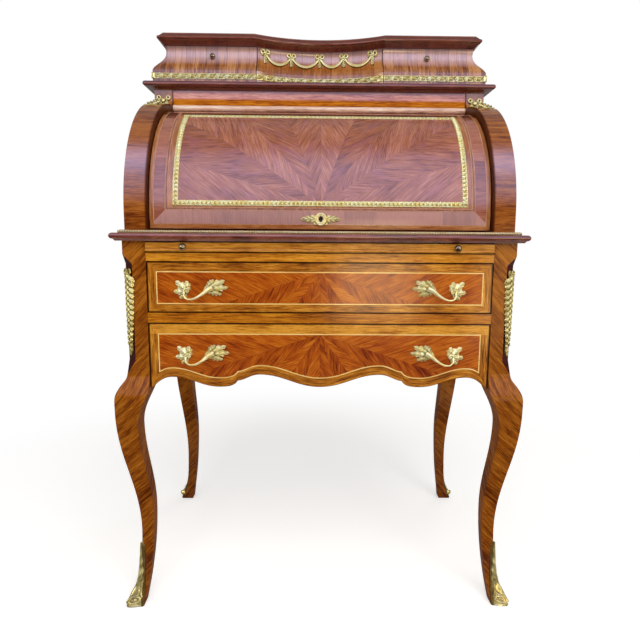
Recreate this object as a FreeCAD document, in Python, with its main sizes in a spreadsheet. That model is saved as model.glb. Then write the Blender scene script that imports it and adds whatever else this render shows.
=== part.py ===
import FreeCAD, Part
import math
import os
import re
from types import SimpleNamespace

from FreeCAD import Placement, Rotation, Vector

# A cylinder desk: a writing table on cabriole legs with two drawers and a writing slide, a quarter
# cylinder that rolls back inside the case, and a gallery with two small drawers on top.
# X runs to the right, Y to the back, Z up. The origin is on the floor, under the middle of the case.

doc = FreeCAD.newDocument("cylinder_desk")

# Driving sizes in millimetres, and angles in degrees
SIZES = {
    # case and desk top
    "case_width": 728,
    "case_depth": 476,
    "post_width": 42,
    "writing_height": 740,
    "top_thickness": 20,
    "top_overhang": 18,
    "top_nose_radius": 5.5,
    "top_under_height": 3.5,
    "top_under_inset": 3,
    "top_step_reach": 3,
    "top_back_overhang": 4,
    "bead_height": 4.5,
    "bead_depth": 2.5,
    "panel_inset": 3,
    "side_thickness": 16,
    "back_thickness": 12,
    "back_foot_rise": 9,
    # clearances
    "reveal": 2,
    "running_gap": 0.3,
    "pin_gap": 0.05,
    # slide, rails and drawers
    "lip_height": 17,
    "lip_depth": 18,
    "lip_reach": 6,
    "lip_bead_height": 6,
    "lip_bead_reach": 2.5,
    "lip_face_inset": 2,
    "slide_rail_height": 16,
    "upper_front_height": 91.5,
    "drawer_rail_height": 19,
    "rail_depth": 50,
    "runner_width": 24,
    "runner_height": 15,
    "guide_height": 12,
    "front_thickness": 20,
    "board_thickness": 12,
    "bottom_thickness": 8,
    "bottom_lift": 5,
    "drawer_back_gap": 44,
    "drawer_top_gap": 11,
    "slide_thickness": 15,
    "slide_length": 370,
    "leather_thickness": 1.2,
    "leather_margin": 30,
    # scalloped edge of the lower drawer, rises above its corners and distances from its ends
    "lower_front_height": 123.5,
    "apron_outer_rise": 22,
    "apron_outer_peak_at": 41,
    "apron_pendant_rise": 3,
    "apron_pendant_at": 130,
    "apron_cusp_rise": 15,
    "apron_cusp_at": 164,
    "apron_inner_rise": 27,
    "apron_inner_peak_at": 206,
    # cabriole leg, reaches measured outward from the post's faces
    "knee_top_rise": 29,
    "knee_drop": 67,
    "knee_reach": 20,
    "ankle_height": 150,
    "ankle_inset": 12,
    "toe_height": 38,
    "toe_reach": 11,
    "toe_round": 15,
    "thigh_drop": 33,
    "thigh_depth": 22,
    "shin_height": 195,
    "shin_depth": 37,
    "foot_depth": 17,
    "cant_width": 16.7,
    "cant_drop": 24,
    "cant_rise": 17,
    "cant_run": 18,
    "sabot_height": 124,
    "sabot_wall": 3,
    "sabot_half_width": 20,
    "chute_drop": 52,
    "chute_length": 163,
    "chute_half_width": 13,
    "chute_thickness": 5,
    # cylinder
    "quadrant_inset": 3,
    "quadrant_band": 40.5,
    "quadrant_set_back": 9,
    "quadrant_end_angle": 86,
    "roll_rise": 32,
    "fall_set_back": 16,
    "fall_thickness": 18,
    "fall_end_gap": 1.5,
    "fall_foot_gap": 3,
    "fall_top_angle": 92,
    "mount_end_inset": 45.5,
    "mount_width": 12,
    "mount_thickness": 3.2,
    "mount_foot_angle": 3.5,
    "mount_top_angle": 64,
    "escutcheon_half_width": 39,
    "escutcheon_half_height": 11,
    "escutcheon_thickness": 3,
    "keyhole_height": 22,
    "keyhole_radius": 3.2,
    "arm_thickness": 6,
    "arm_rim": 8,
    "arm_bar": 20,
    "arm_inset": 7,
    "arm_foot_angle": 12,
    "arm_head_angle": 68,
    "arm_rim_margin": 5,
    "eye_radius": 15,
    "pin_radius": 6,
    "pin_seat": 15,
    "lock_half_width": 32,
    "lock_height": 40,
    "lock_depth": 12,
    "lock_sink": 4,
    "lock_lift": 5.5,
    "bolt_half_width": 12,
    "bolt_thickness": 6,
    "bolt_length": 26,
    "bolt_travel": 10,
    "strike_half_width": 20,
    "strike_depth": 14,
    "strike_thickness": 1.8,
    # frieze, cornice and gallery
    "frieze_gap": 6,
    "frieze_height": 44,
    "frieze_depth": 20,
    "frieze_bead": 13.4,
    "frieze_bead_reach": 6,
    "frieze_step": 1,
    "stile_set_back": 1,
    "cornice_height": 18,
    "cornice_reach": 19.8,
    "cornice_cove": 5,
    "cornice_nose_rise": 5,
    "cornice_lip": 2,
    "gallery_height": 81,
    "gallery_base_reach": 2,
    "gallery_base_height": 24,
    "gallery_bend_rise": 18.5,
    "gallery_waist_inset": 22.8,
    "gallery_waist_height": 65,
    "gallery_neck_inset": 19,
    "gallery_wall": 10,
    "gallery_top_height": 25.6,
    "gallery_tip_inset": 6.6,
    "gallery_tip_height": 13.6,
    "gallery_tip_round": 4,
    "gallery_cove_reach": 3.5,
    "gallery_top_inset": 18,
    "gallery_centre_half": 139,
    "gallery_recess": 36,
    "bow_spare_angle": 18,
    "gallery_board": 8,
    "gallery_drawer_gap": 22,
    "strip_height": 12,
    "strip_lift": 5.5,
    "strip_thickness": 2.2,
    "drawer_seam": 0.8,
    # mounts and knobs
    "slide_knob_at": 251,
    "slide_knob_radius": 7,
    "slide_knob_reach": 15,
    "gallery_knob_at": 236,
    "gallery_knob_height": 59,
    "gallery_knob_radius": 6,
    "gallery_knob_reach": 12,
    "pull_bail_at": 232,
    "pull_bail_radius": 21,
    "pull_outer_leaf_at": 257,
    "pull_inner_leaf_at": 192,
    "pull_leaf_lift": 3,
    "pull_bail_thickness": 4.2,
    "pull_post_radius": 5.5,
    "pull_reach": 15,
    "pull_leaf_thickness": 4,
    "pull_outer_leaf": 30,
    "pull_inner_leaf": 54,
    "pull_leaf_height": 26,
    "upper_pull_drop": 44,
    "lower_pull_drop": 52.5,
    "stud_radius": 2.5,
    "nut_radius": 5,
    "nut_thickness": 4,
    "bow_half_width": 16,
    "bow_height": 23,
    "bow_thickness": 8,
    "bow_lift": 23.5,
    "leaf_angle": 13,
    "festoon_half": 122,
    "festoon_lift": 73,
    "festoon_drop": 22,
    "festoon_proud": 1.2,
    "festoon_radius": 2.6,
    "festoon_bow_radius": 6,
    # nest of pigeonholes
    "nest_front": 20,
    "nest_clearance": 10,
    "nest_board": 8,
    "nest_end_gap": 6,
    "nest_drawer_height": 52,
    "nest_drawer_board": 6,
    "nest_knob_radius": 5,
    "nest_hole_half": 98,
}

# Lines of the desk worked out from the driving sizes
LINES = {
    "half_width": "case_width / 2",
    "half_depth": "case_depth / 2",
    "opening_half": "half_width - post_width",
    "post_top": "writing_height - top_thickness",
    "lip_top": "post_top - reveal",
    "lip_foot": "lip_top - lip_height",
    "slide_rail_top": "lip_foot - reveal",
    "slide_rail_foot": "slide_rail_top - slide_rail_height",
    "upper_front_top": "slide_rail_foot - reveal",
    "upper_front_foot": "upper_front_top - upper_front_height",
    "drawer_rail_top": "upper_front_foot - reveal",
    "drawer_rail_foot": "drawer_rail_top - drawer_rail_height",
    "lower_front_top": "drawer_rail_foot - reveal",
    "apron_foot": "lower_front_top - lower_front_height",
    "apron_outer_peak": "apron_foot + apron_outer_rise",
    "apron_pendant": "apron_foot + apron_pendant_rise",
    "apron_cusp": "apron_foot + apron_cusp_rise",
    "apron_inner_peak": "apron_foot + apron_inner_rise",
    "back_foot_height": "apron_foot + back_foot_rise",
    "knee_top": "apron_foot + knee_top_rise",
    "knee_height": "knee_top - knee_drop",
    "thigh_height": "knee_height - thigh_drop",
    "cant_top": "post_top - cant_drop",
    "cant_foot": "apron_foot + cant_rise",
    "chute_top": "post_top - chute_drop",
    "upper_pull_height": "upper_front_top - upper_pull_drop",
    "lower_pull_height": "lower_front_top - lower_pull_drop",
    "front_half": "opening_half - reveal",
    "front_back": "front_thickness - half_depth",
    "drawer_half": "front_half - reveal",
    "drawer_back": "half_depth - panel_inset - back_thickness - drawer_back_gap",
    "upper_box_foot": "drawer_rail_top + running_gap",
    "lower_runner_top": "apron_inner_peak + reveal",
    "lower_box_foot": "lower_runner_top + running_gap",
    "side_inner": "half_width - panel_inset - side_thickness",
    "runner_inner": "drawer_half - runner_width",
    "inner_depth": "half_depth - post_width",
    "slide_foot": "slide_rail_top + running_gap",
    "slide_top": "slide_foot + slide_thickness",
    "lip_front": "0 - half_depth - lip_reach",
    "lip_back": "lip_front + lip_depth",
    "slide_back": "lip_back + slide_length",
    "quadrant_outer": "half_width - quadrant_inset",
    "quadrant_inner": "quadrant_outer - quadrant_band",
    "roll_y": "quadrant_set_back",
    "roll_z": "writing_height + roll_rise",
    "quadrant_radius": "half_depth",
    "fall_radius": "half_depth - fall_set_back",
    "fall_inner_radius": "fall_radius - fall_thickness",
    "fall_foot_angle": "asin((roll_rise - fall_foot_gap) / fall_radius)",
    "fall_half": "quadrant_inner - fall_end_gap",
    "mount_half": "quadrant_inner - mount_end_inset",
    "stile_y": "roll_y + stile_set_back",
    "frieze_foot": "roll_z + fall_radius + frieze_gap",
    "cornice_foot": "frieze_foot + frieze_height",
    "cornice_top": "cornice_foot + cornice_height",
    "gallery_roof": "cornice_top + gallery_height",
    "desk_height": "gallery_roof + gallery_top_height",
    "gallery_front_back": "stile_y + gallery_waist_inset + gallery_wall",
    "gallery_inner": "quadrant_outer - gallery_waist_inset - gallery_wall",
    "gallery_back_y": "half_depth - back_thickness",
    "strip_foot": "cornice_top + strip_lift",
    "strip_top": "strip_foot + strip_height",
    "bow_radius": "(gallery_centre_half ^ 2 + gallery_recess ^ 2) / (2 * gallery_recess)",
    "bow_axis": "stile_y + gallery_recess - bow_radius",
    "arm_outer": "fall_half - arm_inset",
    "arm_inner": "arm_outer - arm_thickness",
    "lock_foot": "writing_height + lock_lift",
    "lock_front": "roll_y - fall_inner_radius - lock_sink",
    "lock_back": "lock_front + lock_depth",
    "bolt_front": "lock_front + (lock_depth - bolt_thickness) / 2",
    "bolt_back": "bolt_front + bolt_thickness",
    "nest_half": "arm_inner - nest_end_gap",
    "nest_corner": "(fall_inner_radius - nest_clearance) * sqrt(0.5)",
    "nest_back": "roll_y + nest_corner",
    "nest_top": "roll_z + nest_corner",
    "nest_floor": "writing_height + nest_board",
    "nest_drawer_foot": "nest_floor + running_gap",
    "nest_drawer_top": "nest_drawer_foot + nest_drawer_height",
    "nest_shelf": "nest_drawer_top + reveal",
    "nest_shelf_top": "nest_shelf + nest_board",
    "nest_roof": "nest_top - nest_board",
}

NODES = []


def cells(text, home=""):
    """Write a formula of plain names as an expression over the two sheets."""

    def cell(match):
        name = match.group(0)
        sheet = "Sizes" if name in SIZES else "Lines" if name in LINES else home
        return name if sheet == home else f"{sheet}.{name}"

    return re.sub(r"[a-z][a-z_]*", cell, text)


def fill_sheet(name, rows):
    """Write one named number or formula to a row."""
    sheet = doc.addObject("Spreadsheet::Sheet", name)
    for row, (alias, text) in enumerate(rows.items(), start=1):
        sheet.set(f"A{row}", alias)
        sheet.set(f"B{row}", text)
        sheet.setAlias(f"B{row}", alias)
    return sheet


sizes_sheet = fill_sheet("Sizes", {alias: str(number) for alias, number in SIZES.items()})
doc.recompute()
lines_sheet = fill_sheet("Lines", {alias: "=" + cells(text, "Lines") for alias, text in LINES.items()})
doc.recompute()

# The same numbers for outlines that are drawn point by point
n = SimpleNamespace()
for alias in SIZES:
    setattr(n, alias, float(getattr(sizes_sheet, alias)))
for alias in LINES:
    setattr(n, alias, float(getattr(lines_sheet, alias)))


# Shared ways of making a solid


class Outline:
    """A closed outline drawn edge by edge, as (across, up) points in a plane."""

    def __init__(self, across, up):
        self.start = Vector(across, up, 0)
        self.here = self.start
        self.edges = []

    def add(self, edge, there):
        self.edges.append(edge)
        self.here = there
        return self

    def line(self, across, up):
        there = Vector(across, up, 0)
        return self.add(Part.LineSegment(self.here, there), there)

    def arc(self, middle, end):
        there = Vector(*end, 0)
        return self.add(Part.Arc(self.here, Vector(*middle, 0), there), there)

    def curve(self, points, leave, arrive):
        through = [self.here] + [Vector(*point, 0) for point in points]
        spline = Part.BSplineCurve()
        spline.interpolate(
            Points=through, InitialTangent=Vector(*leave, 0), FinalTangent=Vector(*arrive, 0)
        )
        return self.add(spline, through[-1])

    def close(self):
        return self.line(self.start.x, self.start.y)


PLANES = {
    "front": (Rotation(Vector(1, 0, 0), 90), Vector(0, 1, 0), "y"),
    "side": (Rotation(Vector(1, 1, 1), 120), Vector(1, 0, 0), "x"),
    "plan": (Rotation(), Vector(0, 0, 1), "z"),
}


def bind(thing, **formulas):
    """Tie properties to formulas over the sheets."""
    for prop, text in formulas.items():
        thing.setExpression(prop, cells(text))


def bind_base(thing, x="0", y="0", z="0"):
    """Tie the place of an object to formulas over the sheets."""
    for letter, text in (("x", x), ("y", y), ("z", z)):
        thing.setExpression(f"Placement.Base.{letter}", cells(text))


def board(name, x, y, z):
    """A board between two planes in each direction."""
    box = doc.addObject("Part::Box", name)
    bind_base(box, x[0], y[0], z[0])
    bind(
        box,
        Length=f"({x[1]}) - ({x[0]})",
        Width=f"({y[1]}) - ({y[0]})",
        Height=f"({z[1]}) - ({z[0]})",
    )
    return box


def pair(name, x, y, z):
    """A board at each side, mirrored about the middle of the desk."""
    left = board(name + "_left", (f"-({x[1]})", f"-({x[0]})"), y, z)
    right = board(name + "_right", x, y, z)
    return [left, right]


def rod(name, axis, radius, low, high, x="0", y="0", z="0"):
    """A round rod along one axis, from low to high on it."""
    turn = {"x": Rotation(Vector(0, 1, 0), 90), "y": Rotation(Vector(1, 0, 0), -90), "z": Rotation()}
    cylinder = doc.addObject("Part::Cylinder", name)
    cylinder.Placement = Placement(Vector(), turn[axis])
    place = {"x": x, "y": y, "z": z, axis: low}
    bind_base(cylinder, **place)
    bind(cylinder, Radius=radius, Height=f"({high}) - ({low})")
    return cylinder


def sketch(name, rotation, outline):
    """A sketch that holds one closed outline."""
    drawing = doc.addObject("Sketcher::SketchObject", name + "_outline")
    drawing.Placement = Placement(Vector(), rotation)
    drawing.addGeometry(outline.edges, False)
    return drawing


def prism(name, plane, outline, low, high):
    """An outline in one of the three planes, drawn out from low to high across it."""
    rotation, direction, letter = PLANES[plane]
    drawing = sketch(name, rotation, outline)
    drawing.setExpression(f"Placement.Base.{letter}", cells(low))
    solid = doc.addObject("Part::Extrusion", name)
    solid.Base = drawing
    solid.DirMode = "Custom"
    solid.Dir = direction
    solid.Solid = True
    bind(solid, LengthFwd=f"({high}) - ({low})")
    return solid


def turned(name, outline, place, axis, angle=360):
    """An outline of (radius, height) points turned about an axis through a place."""
    drawing = sketch(name, PLANES["front"][0], outline)
    solid = doc.addObject("Part::Revolution", name + "_turning")
    solid.Source = drawing
    solid.Axis = Vector(0, 0, 1)
    solid.Base = Vector()
    solid.Angle = angle
    solid.Solid = True
    set_down = doc.addObject("Part::Compound", name)
    set_down.Links = [solid]
    set_down.Placement = Placement(place, axis)
    return set_down


def fuse(name, parts):
    """Several solids joined to one."""
    joined = doc.addObject("Part::MultiFuse", name)
    joined.Shapes = parts
    return joined


def cut(name, base, tools):
    """A solid less one or more tools."""
    tool = tools[0]
    if len(tools) > 1:
        tool = group(name + "_tools", tools)
    rest = doc.addObject("Part::Cut", name)
    rest.Base = base
    rest.Tool = tool
    return rest


def common(name, parts):
    """What several solids share."""
    shared = doc.addObject("Part::MultiCommon", name)
    shared.Shapes = parts
    return shared


def group(name, parts):
    """Separate solids held in one object."""
    held = doc.addObject("Part::Compound", name)
    held.Links = parts
    return held


def mirrored(name, source):
    """A copy of a solid on the other side of the desk."""
    copy = doc.addObject("Part::Mirroring", name)
    copy.Source = source
    copy.Normal = Vector(1, 0, 0)
    copy.Base = Vector()
    return copy


def node(label, thing):
    """Name a finished piece of the desk."""
    thing.Label = label
    NODES.append(thing)
    return thing


def on_roll(radius, angle):
    """A (y, z) point at a radius from the roll axis, with the angle up from the front."""
    turn = math.radians(angle)
    return n.roll_y - radius * math.cos(turn), n.roll_z + radius * math.sin(turn)


def roll_sector(inner, outer, foot, top):
    """The outline of part of a ring about the roll axis."""
    middle = (foot + top) / 2
    ring = Outline(*on_roll(outer, foot)).arc(on_roll(outer, middle), on_roll(outer, top))
    ring.line(*on_roll(inner, top)).arc(on_roll(inner, middle), on_roll(inner, foot))
    return ring.close()


# Legs, each in one piece with its post


def leg_outline(side, post_face, wall=0.0, top=None):
    """The leg seen square on: a post, a knee, an ankle and a toe, on the face at post_face."""

    def point(reach, height):
        return side * (post_face + reach), height

    toe_floor = point(n.toe_reach + wall, 0)
    if top is None:
        outline = Outline(*point(0, n.post_top)).line(*point(0, n.knee_top))
        shoulder = (n.knee_top - n.knee_height) * 0.57
        outline.curve(
            [
                point(n.knee_reach * 0.45, n.knee_top - shoulder * 0.53),
                point(n.knee_reach * 0.92, n.knee_top - shoulder),
                point(n.knee_reach, n.knee_height),
            ],
            (0, -1),
            (0, -1),
        )
        outline.curve([point(-n.ankle_inset, n.ankle_height)], (0, -1), (0, -1))
    else:
        outline = Outline(*point(wall - n.ankle_inset, n.ankle_height))
    outline.curve(
        [
            point(wall - n.ankle_inset * 0.8, n.ankle_height * 0.6),
            point(wall - n.ankle_inset * 0.25, n.toe_height),
            toe_floor,
        ],
        (0, -1),
        (side * 0.35, -1),
    )
    outline.line(*point(-n.foot_depth, 0))
    if top is not None:
        return outline.line(*point(-n.foot_depth, n.ankle_height)).close()
    outline.curve([point(-n.shin_depth, n.shin_height)], (-side * 0.2, 1), (0, 1))
    outline.curve([point(-n.thigh_depth, n.thigh_height)], (0, 1), (0, 1))
    outline.curve([point(-n.post_width, n.apron_foot - n.reveal)], (0, 1), (-side * 0.35, 1))
    return outline.line(*point(-n.post_width, n.post_top)).close()


def diagonal_prism(name, side, depth, outline, half_across):
    """An outline drawn on the diagonal through a post's corner, drawn out to both sides of it."""
    turn = Rotation(Vector(0, 0, 1), math.degrees(math.atan2(depth, side)))
    drawing = sketch(name, turn.multiply(PLANES["front"][0]), outline)
    bind_base(drawing, f"{side} * half_width", f"{depth} * half_depth")
    solid = doc.addObject("Part::Extrusion", name)
    solid.Base = drawing
    solid.DirMode = "Normal"
    solid.Solid = True
    solid.Symmetric = True
    bind(solid, LengthFwd=f"2 * ({half_across})")
    return solid


def square_on(name, side, depth, wall=0.0, top=None):
    """The leg's outline cut in both directions, as a cabriole leg is sawn."""
    reach = "post_width + knee_reach + sabot_wall"
    across = prism(
        f"{name}_front_saw", "front", leg_outline(side, n.half_width, wall, top),
        f"{depth} * half_depth - ({reach})", f"{depth} * half_depth + {reach}",
    )
    along = prism(
        f"{name}_side_saw", "side", leg_outline(depth, n.half_depth, wall, top),
        f"{side} * half_width - ({reach})", f"{side} * half_width + {reach}",
    )
    return across, along


def cant_cutter(name, side):
    """The canted corner of a front post, with a slanted end at the top and at the knee."""
    face = -n.cant_width / math.sqrt(2)
    clear = 2 * n.knee_reach
    outline = Outline(face, n.cant_top - n.cant_run)
    outline.line(0, n.cant_top).line(clear, n.cant_top)
    outline.line(clear, n.cant_foot).line(-face / 3, n.cant_foot)
    outline.line(face, n.cant_foot + 2 * n.cant_run)
    return diagonal_prism(name, side, -1, outline.close(), "post_width")


def toe_rounder(name, side, depth, wall=0.0):
    """What is taken off the outer corner of a foot, to round its toe."""
    across = n.half_width + n.toe_reach + wall
    along = n.half_depth + n.toe_reach + wall
    round_off = n.toe_round + wall
    middle = round_off * (1 - math.sqrt(0.5))

    def point(across_in, along_in):
        return side * (across - across_in), depth * (along - along_in)

    corner = Outline(*point(round_off, 0)).line(*point(round_off, -n.knee_reach))
    corner.line(*point(-n.knee_reach, -n.knee_reach)).line(*point(-n.knee_reach, round_off))
    corner.line(*point(0, round_off)).arc(point(middle, middle), point(round_off, 0))
    return prism(name, "plan", corner, "0", "ankle_height")


def other_side(point):
    """A point of an outline on the other side of its middle line."""
    return -point[0], point[1]


def sabot(name, side, depth, leg):
    """A gilt shoe on the outer corner of a foot: a toe that narrows to a tongue up the ankle."""
    across, along = square_on(name, side, depth, n.sabot_wall, n.ankle_height)
    wide = n.sabot_half_width
    high = n.sabot_height
    edge = [(wide * 0.95, high * 0.14), (wide * 0.6, high * 0.32), (wide * 0.48, high * 0.5)]
    edge.append((wide * 0.3, high * 0.75))
    far_edge = [other_side(point) for point in reversed(edge)]
    leaf = Outline(-wide, 0).line(wide, 0)
    leaf.curve(edge + [(0, high)], (-0.05, 1), (-0.6, 1))
    leaf.curve(far_edge + [(-wide, 0)], (-0.6, -1), (-0.05, -1))
    turn = Rotation(Vector(0, 0, 1), math.degrees(math.atan2(depth, side)) + 90)
    drawing = sketch(f"{name}_leaf", turn.multiply(PLANES["front"][0]), leaf)
    drawing.setExpression("Placement.Base.x", cells(f"{side} * (half_width - foot_depth)"))
    drawing.setExpression("Placement.Base.y", cells(f"{depth} * (half_depth - foot_depth)"))
    reach = doc.addObject("Part::Extrusion", f"{name}_reach")
    reach.Base = drawing
    reach.DirMode = "Custom"
    reach.Dir = Vector(side, depth, 0)
    reach.Solid = True
    bind(reach, LengthFwd="post_width + knee_reach")
    skin = common(f"{name}_skin", [across, along, reach])
    return cut(name, skin, [leg, toe_rounder(f"{name}_round", side, depth, n.sabot_wall)])


CORNERS = {
    "front_left": (-1, -1),
    "front_right": (1, -1),
    "rear_left": (-1, 1),
    "rear_right": (1, 1),
}
SABOTS = {}
for corner, (side, depth) in CORNERS.items():
    whole = common(f"{corner}_sawn", list(square_on(corner, side, depth)))
    tools = [toe_rounder(f"{corner}_toe", side, depth)]
    if depth < 0:
        tools.append(cant_cutter(f"{corner}_cant", side))
    leg = node(f"{corner}_leg", cut(f"{corner}_shaped", whole, tools))
    SABOTS[corner] = sabot(f"{corner}_sabot", side, depth, leg)
node("front_sabots", group("front_shoes", [SABOTS["front_left"], SABOTS["front_right"]]))
node("rear_sabots", group("rear_shoes", [SABOTS["rear_left"], SABOTS["rear_right"]]))


def chute(name, side):
    """A leafy drop on the canted corner, wide at its head and pointed at its foot."""
    wide = n.chute_half_width
    top = n.chute_top
    long = n.chute_length
    head = (wide, top - long * 0.1)
    neck = (wide * 0.55, top - long * 0.27)
    bell = (wide * 0.7, top - long * 0.42)
    stem = (wide * 0.3, top - long * 0.8)
    tip = (0, top - long)
    drop = Outline(0, top)
    drop.curve([head, neck], (1, 0.2), (-0.3, -1))
    drop.curve([bell, stem, tip], (1, -1), (-0.2, -1))
    drop.curve([other_side(stem), other_side(bell), other_side(neck)], (-0.2, 1), (1, 1))
    drop.curve([other_side(head), (0, top)], (-0.3, 1), (1, 0.2))
    turn = Rotation(Vector(0, 0, 1), math.degrees(math.atan2(-1, side)) + 90)
    drawing = sketch(name, turn.multiply(PLANES["front"][0]), drop)
    drawing.setExpression("Placement.Base.x", cells(f"{side} * (half_width - cant_width / 2)"))
    drawing.setExpression("Placement.Base.y", cells("cant_width / 2 - half_depth"))
    solid = doc.addObject("Part::Extrusion", name)
    solid.Base = drawing
    solid.DirMode = "Custom"
    solid.Dir = Vector(side, -1, 0)
    solid.Solid = True
    bind(solid, LengthFwd="chute_thickness")
    return solid


node("corner_chutes", group("chute_pair", [chute("chute_left", -1), chute("chute_right", 1)]))


# Case panels, rails, runners


def case_side_outline():
    """A panel with a shaped lower edge, between a front and a rear post."""
    end = n.inner_depth
    peak = end - n.apron_outer_peak_at
    edge = Outline(-end, n.post_top).line(-end, n.apron_foot)
    edge.curve([(-peak, n.apron_outer_peak)], (0.5, 1), (1, 0))
    edge.curve([(0, n.apron_pendant)], (1, 0), (1, 0))
    edge.curve([(peak, n.apron_outer_peak)], (1, 0), (1, 0))
    edge.curve([(end, n.apron_foot)], (1, 0), (0.5, -1))
    return edge.line(end, n.post_top).close()


case_side_left = node(
    "case_side_left",
    prism("case_panel", "side", case_side_outline(), "-(half_width - panel_inset)", "-side_inner"),
)
node("case_side_right", mirrored("case_panel_right", case_side_left))
node(
    "case_back",
    board(
        "case_back_board",
        ("-opening_half", "opening_half"),
        ("half_depth - panel_inset - back_thickness", "half_depth - panel_inset"),
        ("back_foot_height", "post_top"),
    ),
)
for rail, foot, top in (
    ("slide_rail", "slide_rail_foot", "slide_rail_top"),
    ("drawer_rail", "drawer_rail_foot", "drawer_rail_top"),
):
    node(
        rail,
        board(
            rail + "_board",
            ("-opening_half", "opening_half"),
            ("-half_depth", "rail_depth - half_depth"),
            (foot, top),
        ),
    )


def runner_pair(name, top, start):
    """A strip under each edge of a drawer, with a guide beside it, on the case sides."""
    strips = pair(
        name, ("runner_inner", "side_inner"), (start, "inner_depth"), (f"{top} - runner_height", top)
    )
    guides = pair(
        name + "_guide",
        ("drawer_half + running_gap", "side_inner"),
        (start, "inner_depth"),
        (top, f"{top} + guide_height"),
    )
    pairs = zip(strips, guides)
    return [fuse(f"{name}_{number}", list(parts)) for number, parts in enumerate(pairs)]


node(
    "drawer_runners",
    group(
        "runners",
        runner_pair("upper_runner", "drawer_rail_top", "rail_depth - half_depth")
        + runner_pair("lower_runner", "lower_runner_top", "-inner_depth"),
    ),
)
node(
    "slide_bearers",
    group(
        "bearers",
        pair(
            "bearer",
            ("runner_inner", "side_inner"),
            ("rail_depth - half_depth", "inner_depth"),
            ("slide_rail_top - runner_height", "slide_rail_top"),
        ),
    ),
)


# Desk top with its moulded edge


def top_edge(edge, side):
    """The moulded edge of the desk top, drawn upward from its underside at one end."""
    nose = n.top_overhang - n.top_nose_radius
    step = n.top_step_reach
    low = n.post_top + n.top_under_height
    middle = low + n.top_nose_radius
    high = middle + n.top_nose_radius

    def point(reach, height):
        return side * (edge + reach), height

    return {
        "under": point(nose - n.top_under_inset, n.post_top),
        "low": point(nose, low),
        "tip": point(n.top_overhang, middle),
        "high": point(nose, high),
        "step": point(step, high),
        "top": point(step, n.writing_height),
    }


def across_outline():
    """The desk top seen from the front, moulded at both ends."""
    left = top_edge(n.half_width, -1)
    right = top_edge(n.half_width, 1)
    outline = Outline(*right["under"]).line(*right["low"]).arc(right["tip"], right["high"])
    outline.line(*right["step"]).line(*right["top"]).line(*left["top"]).line(*left["step"])
    return outline.line(*left["high"]).arc(left["tip"], left["low"]).line(*left["under"]).close()


def along_outline():
    """The desk top seen from the side, moulded at the front."""
    front = top_edge(n.half_depth, -1)
    back = n.half_depth + n.top_back_overhang
    outline = Outline(*front["under"]).line(*front["low"]).arc(front["tip"], front["high"])
    outline.line(*front["step"]).line(*front["top"])
    return outline.line(back, n.writing_height).line(back, n.post_top).close()


WIDE = "half_width + 2 * top_overhang"
DEEP = "half_depth + 2 * top_overhang"
top_block = common(
    "top_block",
    [
        prism("top_across", "front", across_outline(), f"-({DEEP})", DEEP),
        prism("top_along", "side", along_outline(), f"-({WIDE})", WIDE),
    ],
)
LEATHER = (
    ("leather_margin - fall_half", "fall_half - leather_margin"),
    ("lock_back + reveal", "nest_front - reveal"),
    ("writing_height - leather_thickness", "writing_height"),
)
STRIKE = (
    ("-strike_half_width", "strike_half_width"),
    (
        "(bolt_front + bolt_back - strike_depth) / 2",
        "(bolt_front + bolt_back + strike_depth) / 2",
    ),
    ("writing_height - strike_thickness", "writing_height"),
)
MORTISE = (
    ("-(bolt_half_width + reveal / 2)", "bolt_half_width + reveal / 2"),
    ("bolt_front - reveal / 2", "bolt_back + reveal / 2"),
    ("writing_height - bolt_travel", "writing_height"),
)
node(
    "desk_top",
    cut(
        "top_board",
        top_block,
        [
            board("leather_seat", *LEATHER),
            board("strike_seat", *STRIKE),
            board("bolt_mortise", *MORTISE),
        ],
    ),
)
node("writing_leather", board("writing_skin", *LEATHER))
strike_plate = board("strike_plate", *STRIKE)
node("lock_strike", cut("strike", strike_plate, [board("strike_slot", *MORTISE)]))

BEAD_FOOT = "post_top + top_under_height + 2 * top_nose_radius"
BEAD = (BEAD_FOOT, f"{BEAD_FOOT} + bead_height")
BEAD_OUT = "top_step_reach + bead_depth"
node(
    "desk_top_beading",
    fuse(
        "beading",
        [
            board(
                "bead_front",
                (f"-(half_width + {BEAD_OUT})", f"half_width + {BEAD_OUT}"),
                (f"-(half_depth + {BEAD_OUT})", "-(half_depth + top_step_reach)"),
                BEAD,
            )
        ]
        + pair(
            "bead_end",
            ("half_width + top_step_reach", f"half_width + {BEAD_OUT}"),
            (f"-(half_depth + {BEAD_OUT})", "half_depth + top_back_overhang"),
            BEAD,
        ),
    ),
)


# Writing slide


def knob(name, radius, reach, place, turn):
    """A small turned knob: a flange, a neck and a rounded head."""
    flange = radius * 0.8
    neck = radius * 0.45
    middle = reach - radius
    throat = middle - math.sqrt(radius ** 2 - neck ** 2)
    profile = Outline(0, 0).line(flange, 0).line(flange, throat / 3).line(neck, throat / 2)
    profile.line(neck, throat).arc((radius, middle), (0, reach))
    return turned(name, profile.close(), place, turn)


FORWARD = Rotation(Vector(1, 0, 0), 90)

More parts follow.
